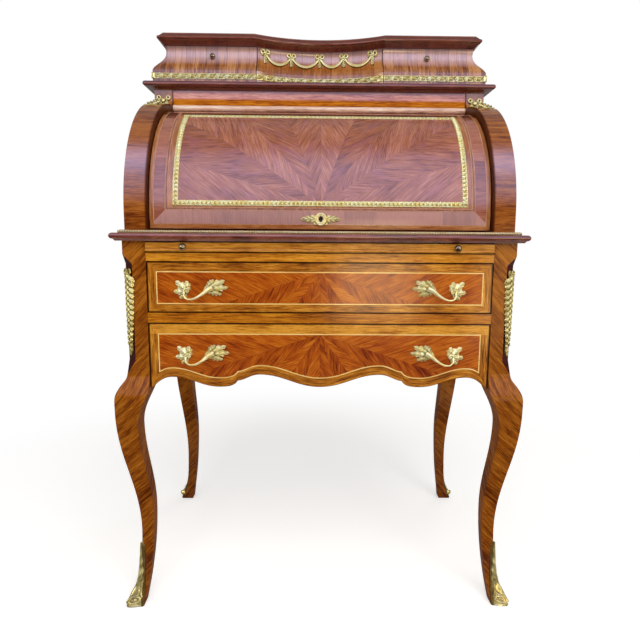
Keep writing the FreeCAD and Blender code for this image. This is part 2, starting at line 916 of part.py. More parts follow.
lip_face = n.lip_front + n.lip_face_inset
lip_bead_tip = (lip_face - n.lip_bead_reach, n.lip_foot + n.lip_bead_height / 2)
lip_outline = Outline(lip_face, n.lip_foot).arc(lip_bead_tip, (lip_face, n.lip_foot + n.lip_bead_height))
lip_outline.line(lip_face, n.lip_top).line(n.lip_back, n.lip_top).line(n.lip_back, n.lip_foot)
LIP_HALF = "opening_half - reveal / 2"
slide_lip = node(
    "slide_lip", prism("slide_front", "side", lip_outline.close(), f"-({LIP_HALF})", LIP_HALF)
)
SLIDE_SKIN = (
    ("leather_margin - drawer_half", "drawer_half - leather_margin"),
    ("lip_back + leather_margin / 2", "slide_back - 3 * leather_margin"),
    ("slide_top - leather_thickness", "slide_top"),
)
slide_board = board(
    "slide_plank",
    ("-drawer_half", "drawer_half"),
    ("lip_back", "slide_back"),
    ("slide_foot", "slide_top"),
)
node("writing_slide", cut("slide_panel", slide_board, [board("slide_skin_seat", *SLIDE_SKIN)]))
node("slide_leather", board("slide_skin", *SLIDE_SKIN))


def slide_knob(hand, side):
    """A knob of the writing slide, let in over the bead of the lip."""
    place = Vector(side * n.slide_knob_at, lip_face, (n.lip_foot + n.lip_top) / 2)
    turned_knob = knob(f"slide_knob_{hand}", n.slide_knob_radius, n.slide_knob_reach, place, FORWARD)
    return cut(f"slide_knob_{hand}_seated", turned_knob, [slide_lip])


node("slide_knobs", group("slide_knob_pair", [slide_knob("left", -1), slide_knob("right", 1)]))


# The two large drawers


def apron_outline():
    """The lower drawer's front: straight at the top, scalloped below, the same on both sides."""
    end = n.front_half
    foot = n.apron_foot
    outer = end - n.apron_outer_peak_at
    pendant = end - n.apron_pendant_at
    cusp = end - n.apron_cusp_at
    inner = end - n.apron_inner_peak_at
    edge = Outline(-end, n.lower_front_top).line(-end, foot)
    edge.curve([(-outer, n.apron_outer_peak)], (1, 0.7), (1, 0))
    edge.curve([(-pendant, n.apron_pendant)], (1, 0), (1, 0))
    edge.curve([(-cusp, n.apron_cusp)], (1, 0), (0.5, 1))
    edge.curve([(-inner, n.apron_inner_peak)], (1, 0.1), (1, 0))
    edge.curve([(0, n.apron_pendant)], (1, 0), (1, 0))
    edge.curve([(inner, n.apron_inner_peak)], (1, 0), (1, 0))
    edge.curve([(cusp, n.apron_cusp)], (1, 0), (1, -0.1))
    edge.curve([(pendant, n.apron_pendant)], (0.5, -1), (1, 0))
    edge.curve([(outer, n.apron_outer_peak)], (1, 0), (1, 0))
    edge.curve([(end, foot)], (1, 0), (1, -0.7))
    return edge.line(end, n.lower_front_top).close()


def stud_places(side):
    """Where a pull's two studs go through a drawer front, across the desk."""
    return (
        f"{side} * (pull_bail_at + pull_bail_radius)",
        f"{side} * (pull_bail_at - pull_bail_radius)",
    )


def stud_rods(name, height, radius, low, high):
    """One rod for each of the four studs of a drawer's two pulls."""
    return [
        rod(f"{name}_{number}", "y", radius, low, high, x=across, z=height)
        for number, across in enumerate(stud_places(-1) + stud_places(1))
    ]


def leaf_outline(centre, width, height, up):
    """A lobed leaf, three rounded tips on each long side."""
    half = width / 2
    tall = height / 2
    leaf = Outline(centre - half, up)
    leaf.arc((centre - half * 0.8, up + tall * 0.85), (centre - half * 0.35, up + tall * 0.6))
    leaf.arc((centre, up + tall), (centre + half * 0.35, up + tall * 0.6))
    leaf.arc((centre + half * 0.8, up + tall * 0.75), (centre + half, up))
    leaf.arc((centre + half * 0.75, up - tall * 0.7), (centre + half * 0.3, up - tall * 0.5))
    leaf.arc((centre, up - tall * 0.9), (centre - half * 0.35, up - tall * 0.5))
    leaf.arc((centre - half * 0.8, up - tall * 0.8), (centre - half, up))
    return leaf


def pull(name, side, height, level):
    """A fixed pull: an outer and an inner leaf, joined by a bail that hangs clear of the front."""
    parts = []
    for leaf, across, width in (
        ("outer", n.pull_outer_leaf_at, n.pull_outer_leaf),
        ("inner", n.pull_inner_leaf_at, n.pull_inner_leaf),
    ):
        outline = leaf_outline(side * across, width, n.pull_leaf_height, level + n.pull_leaf_lift)
        face = "-(half_depth + pull_leaf_thickness)"
        parts.append(prism(f"{name}_{leaf}_leaf", "front", outline, face, "-half_depth"))
    bail = doc.addObject("Part::Torus", f"{name}_bail")
    bail.Angle3 = 180
    bail.Placement = Placement(Vector(), Rotation(Vector(1, 0, 0), -90))
    bind_base(bail, f"{side} * pull_bail_at", "-(half_depth + pull_reach)", height)
    bind(bail, Radius1="pull_bail_radius", Radius2="pull_bail_thickness")
    parts.append(bail)
    for number, across in enumerate(stud_places(side)):
        parts.append(
            rod(
                f"{name}_post_{number}",
                "y",
                "pull_post_radius",
                "-(half_depth + pull_reach + pull_bail_thickness)",
                "-half_depth",
                x=across,
                z=height,
            )
        )
        parts.append(
            rod(
                f"{name}_stud_{number}",
                "y",
                "stud_radius",
                "-(half_depth + pull_leaf_thickness)",
                "front_back + nut_thickness",
                x=across,
                z=height,
            )
        )
    return fuse(name, parts)


def drawer(name, front, foot, front_top, pull_height, level):
    """A drawer: its front, two sides and a back on a bottom, and its pulls with their nuts."""
    side_top = f"{front_top} - drawer_top_gap"
    through = ("-(half_depth + reveal)", "front_back + reveal")
    holes = stud_rods(f"{name}_hole", pull_height, "stud_radius", *through)
    node(f"{name}_front", cut(f"{name}_face", front, holes))
    sides = pair(
        f"{name}_side",
        ("drawer_half - board_thickness", "drawer_half"),
        ("front_back", "drawer_back"),
        (foot, side_top),
    )
    inside = ("board_thickness - drawer_half", "drawer_half - board_thickness")
    back = board(
        f"{name}_back_board",
        inside,
        ("drawer_back - board_thickness", "drawer_back"),
        (f"{foot} + bottom_lift + bottom_thickness", side_top),
    )
    node(f"{name}_box", group(f"{name}_walls", sides + [back]))
    node(
        f"{name}_bottom",
        board(
            f"{name}_base",
            inside,
            ("front_back", "drawer_back"),
            (f"{foot} + bottom_lift", f"{foot} + bottom_lift + bottom_thickness"),
        ),
    )
    pulls = [
        pull(f"{name}_pull_left", -1, pull_height, level),
        pull(f"{name}_pull_right", 1, pull_height, level),
    ]
    inside_face = ("front_back", "front_back + nut_thickness")
    blanks = stud_rods(f"{name}_nut", pull_height, "nut_radius", *inside_face)
    bores = stud_rods(f"{name}_bore", pull_height, "stud_radius", *inside_face)
    nuts = [
        cut(f"{name}_ring_{number}", blank, [bore])
        for number, (blank, bore) in enumerate(zip(blanks, bores))
    ]
    node(f"{name}_pulls", group(f"{name}_pull_set", pulls + nuts))


upper_front = board(
    "upper_face_board",
    ("-front_half", "front_half"),
    ("-half_depth", "front_back"),
    ("upper_front_foot", "upper_front_top"),
)
drawer(
    "upper_drawer",
    upper_front,
    "upper_box_foot",
    "upper_front_top",
    "upper_pull_height",
    n.upper_pull_height,
)
lower_front = prism("apron", "front", apron_outline(), "-half_depth", "front_back")
drawer(
    "lower_drawer",
    lower_front,
    "lower_box_foot",
    "lower_front_top",
    "lower_pull_height",
    n.lower_pull_height,
)


# Quadrant sides, upper back and frieze


def quadrant_outline():
    """A side of the upper part: upright, a quarter round, a hollow and the stile under the cornice."""
    front = n.roll_y - n.quadrant_radius
    shoulder = on_roll(n.quadrant_radius, n.quadrant_end_angle)
    hollow = n.stile_y - shoulder[0]
    diagonal = hollow * math.sqrt(0.5)
    back = n.half_depth
    edge = Outline(front, n.writing_height).line(front, n.roll_z)
    edge.arc(on_roll(n.quadrant_radius, n.quadrant_end_angle / 2), shoulder)
    middle = (shoulder[0] + diagonal, shoulder[1] + hollow - diagonal)
    edge.arc(middle, (n.stile_y, shoulder[1] + hollow))
    edge.line(n.stile_y, n.cornice_foot).line(back, n.cornice_foot).line(back, n.writing_height)
    return edge.close()


quadrant_blank = prism("quadrant", "side", quadrant_outline(), "-quadrant_outer", "-quadrant_inner")
ROLL = {"y": "roll_y", "z": "roll_z"}
PIN_END = "-(quadrant_inner + pin_seat)"
pin_seat = rod("pin_seat_bore", "x", "pin_radius", PIN_END, "-quadrant_inner + reveal", **ROLL)
quadrant_left = node("quadrant_left", cut("quadrant_side", quadrant_blank, [pin_seat]))
quadrant_right = node("quadrant_right", mirrored("quadrant_side_right", quadrant_left))
pin = rod("pivot_left", "x", "pin_radius", PIN_END, "-(arm_inner - reveal)", **ROLL)
node("pivot_pins", group("pivots", [pin, mirrored("pivot_right", pin)]))
node(
    "upper_back",
    board(
        "upper_back_board",
        ("-quadrant_inner", "quadrant_inner"),
        ("half_depth - back_thickness", "half_depth"),
        ("writing_height", "cornice_foot"),
    ),
)

bead_top = n.frieze_foot + n.frieze_bead
bead_tip = (n.stile_y - n.frieze_bead_reach, n.frieze_foot + n.frieze_bead / 2)
frieze_back = n.stile_y + n.frieze_depth
frieze_face = n.stile_y + n.frieze_step
frieze_outline = Outline(frieze_back, n.frieze_foot).line(n.stile_y, n.frieze_foot)
frieze_outline.arc(bead_tip, (n.stile_y, bead_top)).line(frieze_face, bead_top + n.frieze_step)
frieze_outline.line(frieze_face, n.cornice_foot).line(frieze_back, n.cornice_foot)
node("frieze", prism("frieze_rail", "side", frieze_outline.close(), "-quadrant_inner", "quadrant_inner"))


# Cylinder fall with its mounts, lock and arms

fall_blank = prism(
    "fall_blank", "side",
    roll_sector(n.fall_inner_radius, n.fall_radius, -n.fall_foot_angle, n.fall_top_angle),
    "-fall_half", "fall_half",
)
LOCK = (
    ("-lock_half_width", "lock_half_width"),
    ("lock_front", "lock_back"),
    ("lock_foot", "lock_foot + lock_height"),
)
KEYHOLE = {"x": "0", "z": "writing_height + keyhole_height"}
fall_keyhole = rod("fall_keyhole", "y", "keyhole_radius", "-half_depth", "lock_front", **KEYHOLE)
SLOT = (
    ("-(bolt_half_width + running_gap)", "bolt_half_width + running_gap"),
    ("bolt_front - running_gap", "bolt_back + running_gap"),
    ("lock_foot - bolt_travel - reveal", "lock_foot + bolt_length + reveal"),
)
fall_cuts = [board("lock_seat", *LOCK), board("bolt_way", *SLOT), fall_keyhole]
node("cylinder_fall", cut("fall", fall_blank, fall_cuts))
node("cylinder_lock", cut("lock_case", board("lock_box", *LOCK), [board("bolt_slot", *SLOT)]))
node(
    "cylinder_lock_bolt",
    board(
        "bolt",
        ("-bolt_half_width", "bolt_half_width"),
        ("bolt_front", "bolt_back"),
        ("lock_foot", "lock_foot + bolt_length"),
    ),
)

mount_border = math.degrees(n.mount_width / n.fall_radius)
mount_proud = n.fall_radius + n.mount_thickness
mount_blank = prism(
    "mount_blank", "side",
    roll_sector(n.fall_radius, mount_proud, n.mount_foot_angle, n.mount_top_angle),
    "-mount_half", "mount_half",
)
mount_window = prism(
    "mount_window", "side",
    roll_sector(
        n.fall_inner_radius, mount_proud + n.mount_width,
        n.mount_foot_angle + mount_border, n.mount_top_angle - mount_border,
    ),
    "-(mount_half - mount_width)", "mount_half - mount_width",
)
node("cylinder_frame", cut("frame_mount", mount_blank, [mount_window]))


def escutcheon_outline():
    """A lobed plate, wider than tall, the same on both sides."""
    wide = n.escutcheon_half_width
    tall = n.escutcheon_half_height
    level = n.writing_height + n.keyhole_height
    plate = Outline(-wide, level)
    plate.arc((-wide * 0.75, level + tall * 0.75), (-wide * 0.4, level + tall * 0.5))
    plate.arc((0, level + tall), (wide * 0.4, level + tall * 0.5))
    plate.arc((wide * 0.75, level + tall * 0.75), (wide, level))
    plate.arc((wide * 0.75, level - tall * 0.75), (wide * 0.4, level - tall * 0.5))
    plate.arc((0, level - tall), (-wide * 0.4, level - tall * 0.5))
    return plate.arc((-wide * 0.75, level - tall * 0.75), (-wide, level))


plate_blank = prism(
    "plate_blank", "front", escutcheon_outline(), "-half_depth", "roll_y - fall_inner_radius"
)
plate_proud = n.fall_radius + n.escutcheon_thickness
plate_shell = prism(
    "plate_shell", "side",
    roll_sector(n.fall_radius, plate_proud, -n.fall_foot_angle, n.mount_top_angle),
    "-fall_half", "fall_half",
)
plate_keyhole = rod("plate_keyhole", "y", "keyhole_radius", "-half_depth", "lock_front", **KEYHOLE)
node(
    "cylinder_escutcheon",
    cut("escutcheon", common("plate", [plate_blank, plate_shell]), [plate_keyhole]),
)


def arm_bar(name, angle):
    """A straight bar from the eye to the rim of an arm."""
    bar = doc.addObject("Part::Box", name)
    turn = Rotation(Vector(-1, 0, 0), angle)
    bar.Placement = Placement(Vector(), turn)
    sink = n.arm_bar / 2
    offset = turn.multVec(Vector(0, -(n.fall_inner_radius - n.arm_rim / 2), -sink))
    bind_base(bar, "-arm_outer", f"roll_y + ({offset.y:.6f})", f"roll_z + ({offset.z:.6f})")
    bind(bar, Length="arm_thickness", Width="fall_inner_radius - arm_rim / 2", Height="arm_bar")
    return bar


rim = prism(
    "arm_rim_piece", "side",
    roll_sector(
        n.fall_inner_radius - n.arm_rim, n.fall_inner_radius, 0, n.fall_top_angle - n.arm_rim_margin
    ),
    "-arm_outer", "-arm_inner",
)
eye = rod("arm_eye", "x", "eye_radius", "-arm_outer", "-arm_inner", **ROLL)
eye_bore = rod(
    "arm_bore", "x", "pin_radius + pin_gap", "-arm_outer - reveal", "-arm_inner + reveal", **ROLL
)
arm_bars = [arm_bar("arm_bar_low", n.arm_foot_angle), arm_bar("arm_bar_high", n.arm_head_angle)]
arm_left = cut("arm_left", fuse("arm_blank", [rim, eye] + arm_bars), [eye_bore])
node("cylinder_arms", group("arms", [arm_left, mirrored("arm_right", arm_left)]))


# Cornice


def cornice_profile(edge, side):
    """The cornice drawn upward: a cove, a rounded nose and a sloping top."""
    foot = n.cornice_foot
    reach = n.cornice_reach

    def point(out, up):
        return side * (edge + out), foot + up

    return {
        "foot": point(0, 0),
        "cove": point(reach * 0.2, n.cornice_cove * 0.68),
        "cove_top": point(reach * 0.68, n.cornice_cove),
        "nose": point(reach, n.cornice_cove + n.cornice_nose_rise),
        "shoulder": point(reach * 0.72, n.cornice_height - n.cornice_lip),
        "top": point(reach * 0.35, n.cornice_height),
    }


def moulded_across(profile, edge):
    """A moulded board seen from the front, with the same profile at both ends."""
    left = profile(edge, -1)
    right = profile(edge, 1)
    outline = Outline(*right["foot"]).arc(right["cove"], right["cove_top"])
    outline.arc(right["nose"], right["shoulder"])
    outline.line(*right["top"]).line(*left["top"]).line(*left["shoulder"])
    outline.arc(left["nose"], left["cove_top"]).arc(left["cove"], left["foot"])
    return outline.close()


def moulded_along(profile, front, back):
    """A moulded board seen from the side, with its profile at the front."""
    edge = profile(-front, -1)
    outline = Outline(*edge["foot"]).arc(edge["cove"], edge["cove_top"])
    outline.arc(edge["nose"], edge["shoulder"]).line(*edge["top"])
    return outline.line(back, edge["top"][1]).line(back, edge["foot"][1]).close()


def moulded_board(name, profile):
    """A board with one moulding round its front and both ends."""
    across = moulded_across(profile, n.quadrant_outer)
    along = moulded_along(profile, n.stile_y, n.half_depth)
    return common(
        name,
        [
            prism(f"{name}_across", "front", across, f"-({DEEP})", DEEP),
            prism(f"{name}_along", "side", along, f"-({WIDE})", WIDE),
        ],
    )


node("cornice", moulded_board("cornice_board", cornice_profile))


# Gallery


def cavetto(edge, side, foot, roof):
    """The gallery's wall drawn upward: an upright base for the strip, then a hollow up to the neck."""

    def point(reach, up):
        return side * (edge + reach), n.cornice_top + up

    base = n.gallery_base_reach
    return (
        (side * (edge + base), foot),
        point(base, n.gallery_base_height),
        [
            point(-n.gallery_waist_inset * 0.5, n.gallery_base_height + n.gallery_bend_rise),
            point(-n.gallery_waist_inset, n.gallery_waist_height),
            (side * (edge - n.gallery_neck_inset), roof),
        ],
    )


def cavetto_wall(edge, side, inner, foot, roof):
    """A wall with the cavetto on its outer face and a flat inner face."""
    start, shoulder, hollow = cavetto(edge, side, foot, roof)
    wall = Outline(*start).line(*shoulder)
    wall.curve(hollow, (-side * 0.4, 1), (side * 0.7, 1))
    return wall.line(inner, roof).line(inner, foot).close()


def cavetto_ends(edge, foot, roof):
    """A block with the cavetto at both ends."""
    start, shoulder, hollow = cavetto(edge, 1, foot, roof)
    block = Outline(*start).line(*shoulder).curve(hollow, (-0.4, 1), (0.7, 1))
    left_start, left_shoulder, left_hollow = cavetto(edge, -1, foot, roof)
    block.line(*left_hollow[-1])
    block.curve([left_hollow[1], left_hollow[0], left_shoulder], (-0.7, -1), (-0.4, -1))
    return block.line(*left_start).close()


FRONT_EDGE = -n.stile_y
gallery_side_left = node(
    "gallery_side_left",
    prism(
        "gallery_wall", "front",
        cavetto_wall(n.quadrant_outer, -1, -n.gallery_inner, n.cornice_top, n.gallery_roof),
        "gallery_front_back + drawer_seam", "gallery_back_y",
    ),
)
node("gallery_side_right", mirrored("gallery_wall_right", gallery_side_left))
node(
    "gallery_back",
    prism(
        "gallery_back_board", "front",
        cavetto_ends(n.quadrant_outer, n.cornice_top, n.gallery_roof),
        "gallery_back_y", "half_depth",
    ),
)


def plan_radius(reach):
    """The radius of the concave centre at a reach forward of the gallery's reference plane."""
    return n.bow_radius - reach


def hollow_turning(name, outline):
    """An outline of (radius, height) points turned about the axis of the concave centre."""
    angle = 2 * math.degrees(math.asin(n.gallery_centre_half / n.bow_radius)) + n.bow_spare_angle
    place = Placement(Vector(0, n.bow_axis, 0), Rotation(Vector(0, 0, 1), 90 - angle / 2))
    drawing = sketch(name, PLANES["front"][0], outline)
    solid = doc.addObject("Part::Revolution", name + "_turning")
    solid.Source = drawing
    solid.Axis = Vector(0, 0, 1)
    solid.Base = Vector()
    solid.Angle = angle
    solid.Solid = True
    held = doc.addObject("Part::Compound", name)
    held.Links = [solid]
    held.Placement = place
    return held


centre_back = plan_radius(-n.gallery_waist_inset - n.gallery_wall)
centre_face = cavetto(-n.bow_radius, -1, n.cornice_top, n.gallery_roof)
centre_outline = Outline(*centre_face[0]).line(*centre_face[1])
centre_outline.curve(centre_face[2], (0.4, 1), (-0.7, 1))
centre_outline.line(centre_back, n.gallery_roof).line(centre_back, n.cornice_top)
CENTRE_BOX = (
    ("-(gallery_centre_half - drawer_seam)", "gallery_centre_half - drawer_seam"),
    ("-half_depth", "half_depth"),
    ("cornice_top", "gallery_roof"),
)
centre_turned = hollow_turning("centre_turned", centre_outline.close())
centre_panel = common("centre_panel", [centre_turned, board("centre_box", *CENTRE_BOX)])
gallery_centre = node("gallery_centre", centre_panel)
divider_inner = n.gallery_centre_half - n.drawer_seam - n.gallery_board
divider_y = n.bow_axis + math.sqrt(centre_back ** 2 - divider_inner ** 2)
dividers = pair(
    "divider",
    ("gallery_centre_half - drawer_seam - gallery_board", "gallery_centre_half - drawer_seam"),
    (f"{divider_y:.6f}", "gallery_back_y"),
    ("cornice_top", "gallery_roof"),
)
node("gallery_dividers", group("divider_pair", dividers))


def roof_profile(edge, side):
    """The gallery's top drawn upward: a cove out to a tip, then a slope back to the flat."""

    def point(inset, up):
        return side * (edge - inset), n.gallery_roof + up

    tip = n.gallery_tip_height
    neck = n.gallery_neck_inset
    return {
        "foot": point(neck, 0),
        "cove": point(neck - n.gallery_cove_reach, tip * 0.3),
        "cove_top": point(n.gallery_tip_inset + n.gallery_tip_round, tip * 0.62),
        "nose": point(n.gallery_tip_inset, tip),
        "shoulder": point(n.gallery_tip_inset + n.gallery_tip_round, tip + n.gallery_tip_round),
        "top": point(n.gallery_top_inset, n.gallery_top_height),
    }


roof_block = moulded_board("roof_block", roof_profile)
roof_edge = roof_profile(-n.bow_radius, -1)
void_near = n.bow_radius - 4 * n.gallery_recess
void_low = n.gallery_roof - n.reveal
void_high = n.desk_height + n.reveal
roof_void = Outline(void_near, void_low).line(roof_edge["foot"][0], void_low).line(*roof_edge["foot"])
roof_void.arc(roof_edge["cove"], roof_edge["cove_top"]).arc(roof_edge["nose"], roof_edge["shoulder"])
roof_void.line(*roof_edge["top"]).line(roof_edge["top"][0], void_high).line(void_near, void_high)
roof_hollow = hollow_turning("roof_void", roof_void.close())
node("gallery_top", cut("gallery_roof_board", roof_block, [roof_hollow]))

# Bronze strip along the foot of the gallery
STRIP = ("strip_foot", "strip_top")
base_radius = plan_radius(n.gallery_base_reach)
strip_ring = Outline(base_radius - n.strip_thickness, n.strip_foot).line(base_radius, n.strip_foot)
strip_ring.line(base_radius, n.strip_top).line(base_radius - n.strip_thickness, n.strip_top)
STRIP_INNER = "quadrant_outer + gallery_base_reach"
STRIP_OUTER = f"{STRIP_INNER} + strip_thickness"
centre_strip = common(
    "centre_strip",
    [hollow_turning("strip_turned", strip_ring.close()), board("strip_box", *CENTRE_BOX)],
)
SIDE_RUN = ("gallery_front_back + drawer_seam", "half_depth")
side_strips = pair("side_strip", (STRIP_INNER, STRIP_OUTER), SIDE_RUN, STRIP)
node("gallery_strip", group("strip_set", [centre_strip] + side_strips))


def festoon():
    """Five bows and the four swags that hang between them, on the concave centre."""
    face = plan_radius(-n.gallery_waist_inset) - n.festoon_radius * 0.6
    level = n.cornice_top + n.festoon_lift
    step = n.festoon_half / 2
    span = step * 0.5
    drop = n.festoon_drop
    ring = (span ** 2 + drop ** 2) / (2 * drop)
    half_turn = 2 * math.degrees(math.atan2(drop, span))
    pieces = []

    def on_face(across, up, out=0.0):
        return Vector(across, n.bow_axis + math.sqrt((face - out) ** 2 - across ** 2), up)

    for number in range(4):
        across = (number - 1.5) * step
        lean = math.degrees(math.asin(across / face))
        swag = doc.addObject("Part::Torus", f"swag_{number}")
        swag.Angle3 = 2 * half_turn
        flat = Rotation(Vector(0, 0, 1), -lean).multiply(Rotation(Vector(1, 0, 0), 90))
        swag.Placement = Placement(
            on_face(across, level - drop + ring, n.festoon_proud),
            flat.multiply(Rotation(Vector(0, 0, 1), 270 - half_turn)),
        )
        swag.Radius1 = ring
        bind(swag, Radius2="festoon_radius")
        pieces.append(swag)
    for number in range(5):
        place = on_face((number - 2) * step, level, n.festoon_proud)
        bow = doc.addObject("Part::Sphere", f"festoon_bow_{number}")
        bow.Placement = Placement(place, Rotation())
        bind(bow, Radius="festoon_bow_radius")
        tail = doc.addObject("Part::Cone", f"festoon_tail_{number}")
        tail.Placement = Placement(place + Vector(0, 0, -drop), Rotation())
        bind(tail, Radius1="festoon_radius / 2", Radius2="festoon_radius", Height="festoon_drop")
        pieces += [bow, tail]
    hung = fuse("festoon_hung", pieces)
    return cut("festoon_flat", hung, [gallery_centre])


node("festoon", festoon())


def gallery_drawer(hand, side):
    """A small drawer behind a cavetto front that turns the corner, with its strip and its knob."""
    name = f"gallery_drawer_{hand}"
    foot = n.cornice_top + n.running_gap
    roof = n.gallery_roof - n.drawer_seam

    def span(inner, outer):
        return (inner, outer) if side > 0 else (f"-({outer})", f"-({inner})")

    face = common(
        f"{name}_front",
        [
            prism(
                f"{name}_along", "side",
                cavetto_wall(FRONT_EDGE, -1, n.gallery_front_back, foot, roof),
                *span("gallery_centre_half", WIDE),
            ),
            prism(
                f"{name}_across", "front",
                cavetto_wall(n.quadrant_outer, side, 0, foot, roof),
                "-half_depth", "gallery_front_back",
            ),
        ],
    )
    inner = "gallery_centre_half + drawer_seam"
    outer = "gallery_inner - drawer_seam"
    back = "gallery_back_y - gallery_drawer_gap"
    floor = "cornice_top + running_gap"
    base_top = f"{floor} + gallery_board"
    top = "gallery_roof - gallery_board"
    deep = ("gallery_front_back", back)
    box = [
        board(f"{name}_inner_side", span(inner, f"{inner} + gallery_board"), deep, (base_top, top)),
        board(f"{name}_outer_side", span(f"{outer} - gallery_board", outer), deep, (base_top, top)),
        board(
            f"{name}_back",
            span(f"{inner} + gallery_board", f"{outer} - gallery_board"),
            (f"{back} - gallery_board", back),
            (base_top, top),
        ),
        board(f"{name}_base", span(inner, outer), deep, (floor, base_top)),
    ]
    node(name, group(f"{name}_boards", [face] + box))
    front_strip = board(
        f"{name}_strip_front",
        span("gallery_centre_half", STRIP_OUTER),
        ("stile_y - gallery_base_reach - strip_thickness", "stile_y - gallery_base_reach"),
        STRIP,
    )
    end_strip = board(
        f"{name}_strip_end",
        span(STRIP_INNER, STRIP_OUTER),
        ("stile_y - gallery_base_reach - strip_thickness", "gallery_front_back"),
        STRIP,
    )
    node(f"{name}_strip", fuse(f"{name}_strip_piece", [front_strip, end_strip]))
    place = Vector(
        side * n.gallery_knob_at,
        n.stile_y + n.gallery_waist_inset,
        n.cornice_top + n.gallery_knob_height,
    )
    turned_knob = knob(f"{name}_turned", n.gallery_knob_radius, n.gallery_knob_reach, place, FORWARD)
    node(f"{name}_knob", cut(f"{name}_knob_piece", turned_knob, [face]))


gallery_drawer("left", -1)
gallery_drawer("right", 1)


# Ribbon bows at the heads of the quadrants


def bow_mount(name, side, quadrant):
    """Two loops and a knot on the stile, and a leaf that trails over the quarter round."""
    centre = side * (n.quadrant_outer - n.quadrant_band / 2)
    level = n.frieze_foot + n.bow_lift
    wide = n.bow_half_width
    half = n.bow_height / 2
    ribbon = Outline(centre, level + half * 0.4)
    ribbon.arc((centre + wide * 0.7, level + half), (centre + wide, level + half * 0.2))
    ribbon.arc((centre + wide * 0.8, level - half * 0.3), (centre + wide * 0.4, level - half * 0.3))
    ribbon.line(centre + wide * 0.55, level - half).line(centre, level - half * 0.5)
    ribbon.line(centre - wide * 0.55, level - half).line(centre - wide * 0.4, level - half * 0.3)
    ribbon.arc((centre - wide * 0.8, level - half * 0.3), (centre - wide, level + half * 0.2))
    ribbon.arc((centre - wide * 0.7, level + half), (centre, level + half * 0.4))
    loops = prism(f"{name}_loops", "front", ribbon, "stile_y - bow_thickness", "stile_y")
    top = n.quadrant_end_angle - math.degrees(n.reveal / n.quadrant_radius)
    leaf = prism(
        f"{name}_leaf", "side",
        roll_sector(n.quadrant_radius, n.quadrant_radius + n.reveal, top - n.leaf_angle, top),
        f"{centre} - bow_half_width / 3", f"{centre} + bow_half_width / 3",
    )
    return [cut(f"{name}_ribbon", loops, [quadrant]), leaf]


bows = bow_mount("bow_left", -1, quadrant_left) + bow_mount("bow_right", 1, quadrant_right)
node("bow_mounts", group("bows", bows))


# Nest of pigeonholes inside the cylinder

NEST_WIDE = ("-nest_half", "nest_half")
NEST_INSIDE = ("-(nest_half - nest_board)", "nest_half - nest_board")
NEST_WHOLE = ("nest_front", "nest_back")
NEST_DEEP = ("nest_front", "nest_back - nest_drawer_board")
nest = [
    board("nest_base", NEST_WIDE, NEST_WHOLE, ("writing_height", "nest_floor")),
    board("nest_middle", NEST_INSIDE, NEST_DEEP, ("nest_shelf", "nest_shelf_top")),
    board("nest_roof_board", NEST_WIDE, NEST_WHOLE, ("nest_roof", "nest_top")),
    board(
        "nest_panel",
        NEST_INSIDE,
        ("nest_back - nest_drawer_board", "nest_back"),
        ("nest_floor", "nest_roof"),
    ),
    board("nest_post", ("-nest_board / 2", "nest_board / 2"), NEST_DEEP, ("nest_floor", "nest_shelf")),
]
nest += pair("nest_end", (NEST_INSIDE[1], "nest_half"), NEST_WHOLE, ("nest_floor", "nest_roof"))
nest += pair(
    "nest_divider",
    ("nest_hole_half - nest_board", "nest_hole_half"),
    NEST_DEEP,
    ("nest_shelf_top", "nest_roof"),
)
node("nest", group("nest_boards", nest))


def nest_drawer(hand, side):
    """One of the two small drawers of the nest, with a turned knob."""
    name = f"nest_drawer_{hand}"
    inner = "nest_board / 2 + reveal / 2"
    outer = "nest_half - nest_board - reveal / 2"
    wall = "nest_drawer_board"
    back = f"nest_back - 2 * {wall}"
    front_back = f"nest_front + 2 * {wall}"
    top = "nest_drawer_top - reveal"
    floor_top = f"nest_drawer_foot + {wall}"

    def span(low, high):
        return (low, high) if side > 0 else (f"-({high})", f"-({low})")

    deep = (front_back, back)
    tall = (floor_top, top)
    boards = [
        board(
            f"{name}_face",
            span(inner, outer),
            ("nest_front", front_back),
            ("nest_drawer_foot", "nest_drawer_top"),
        ),
        board(f"{name}_inner", span(inner, f"{inner} + {wall}"), deep, tall),
        board(f"{name}_outer", span(f"{outer} - {wall}", outer), deep, tall),
        board(
            f"{name}_back", span(f"{inner} + {wall}", f"{outer} - {wall}"), (f"{back} - {wall}", back), tall
        ),
        board(f"{name}_base", span(inner, outer), deep, ("nest_drawer_foot", floor_top)),
    ]
    middle = (n.nest_drawer_foot + n.nest_drawer_top) / 2
    place = Vector(side * n.nest_half / 2, n.nest_front, middle)
    boards.append(knob(f"{name}_knob", n.nest_knob_radius, 2 * n.nest_knob_radius, place, FORWARD))
    node(name, group(f"{name}_boards", boards))


nest_drawer("left", -1)
nest_drawer("right", 1)


# Build, look every piece over, then write them

doc.recompute()
for thing in doc.Objects:
    if "Invalid" in thing.State or "Error" in thing.State:
        raise RuntimeError(f"{thing.Name} failed: {thing.State}")
for thing in NODES:
    shape = thing.Shape
    if shape.isNull() or not shape.isValid() or not shape.Solids:
        raise RuntimeError(f"{thing.Label} has no sound solid")

os.makedirs("parts", exist_ok=True)
for thing in NODES:
    thing.Shape.exportStep(f"parts/{thing.Label}.step")
    print(thing.Label, len(thing.Shape.Solids), "solid(s),", round(thing.Shape.Volume), "mm3")
print(len(NODES), "nodes")
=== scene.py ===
# %% [markdown]
# # Dressing a cylinder desk
# The desk comes in as a frame of exact solids that already open, slide and roll. This lesson gives each
# solid its finish and lays the bronze, the stringing and the leather over it. Nothing of the frame is
# moved: a new piece is made where the frame says, and then rides on the body that carries it.

# %% Load the frame
import math
import bmesh
import bpy
from mathutils import Matrix, Vector
from mathutils.bvhtree import BVHTree


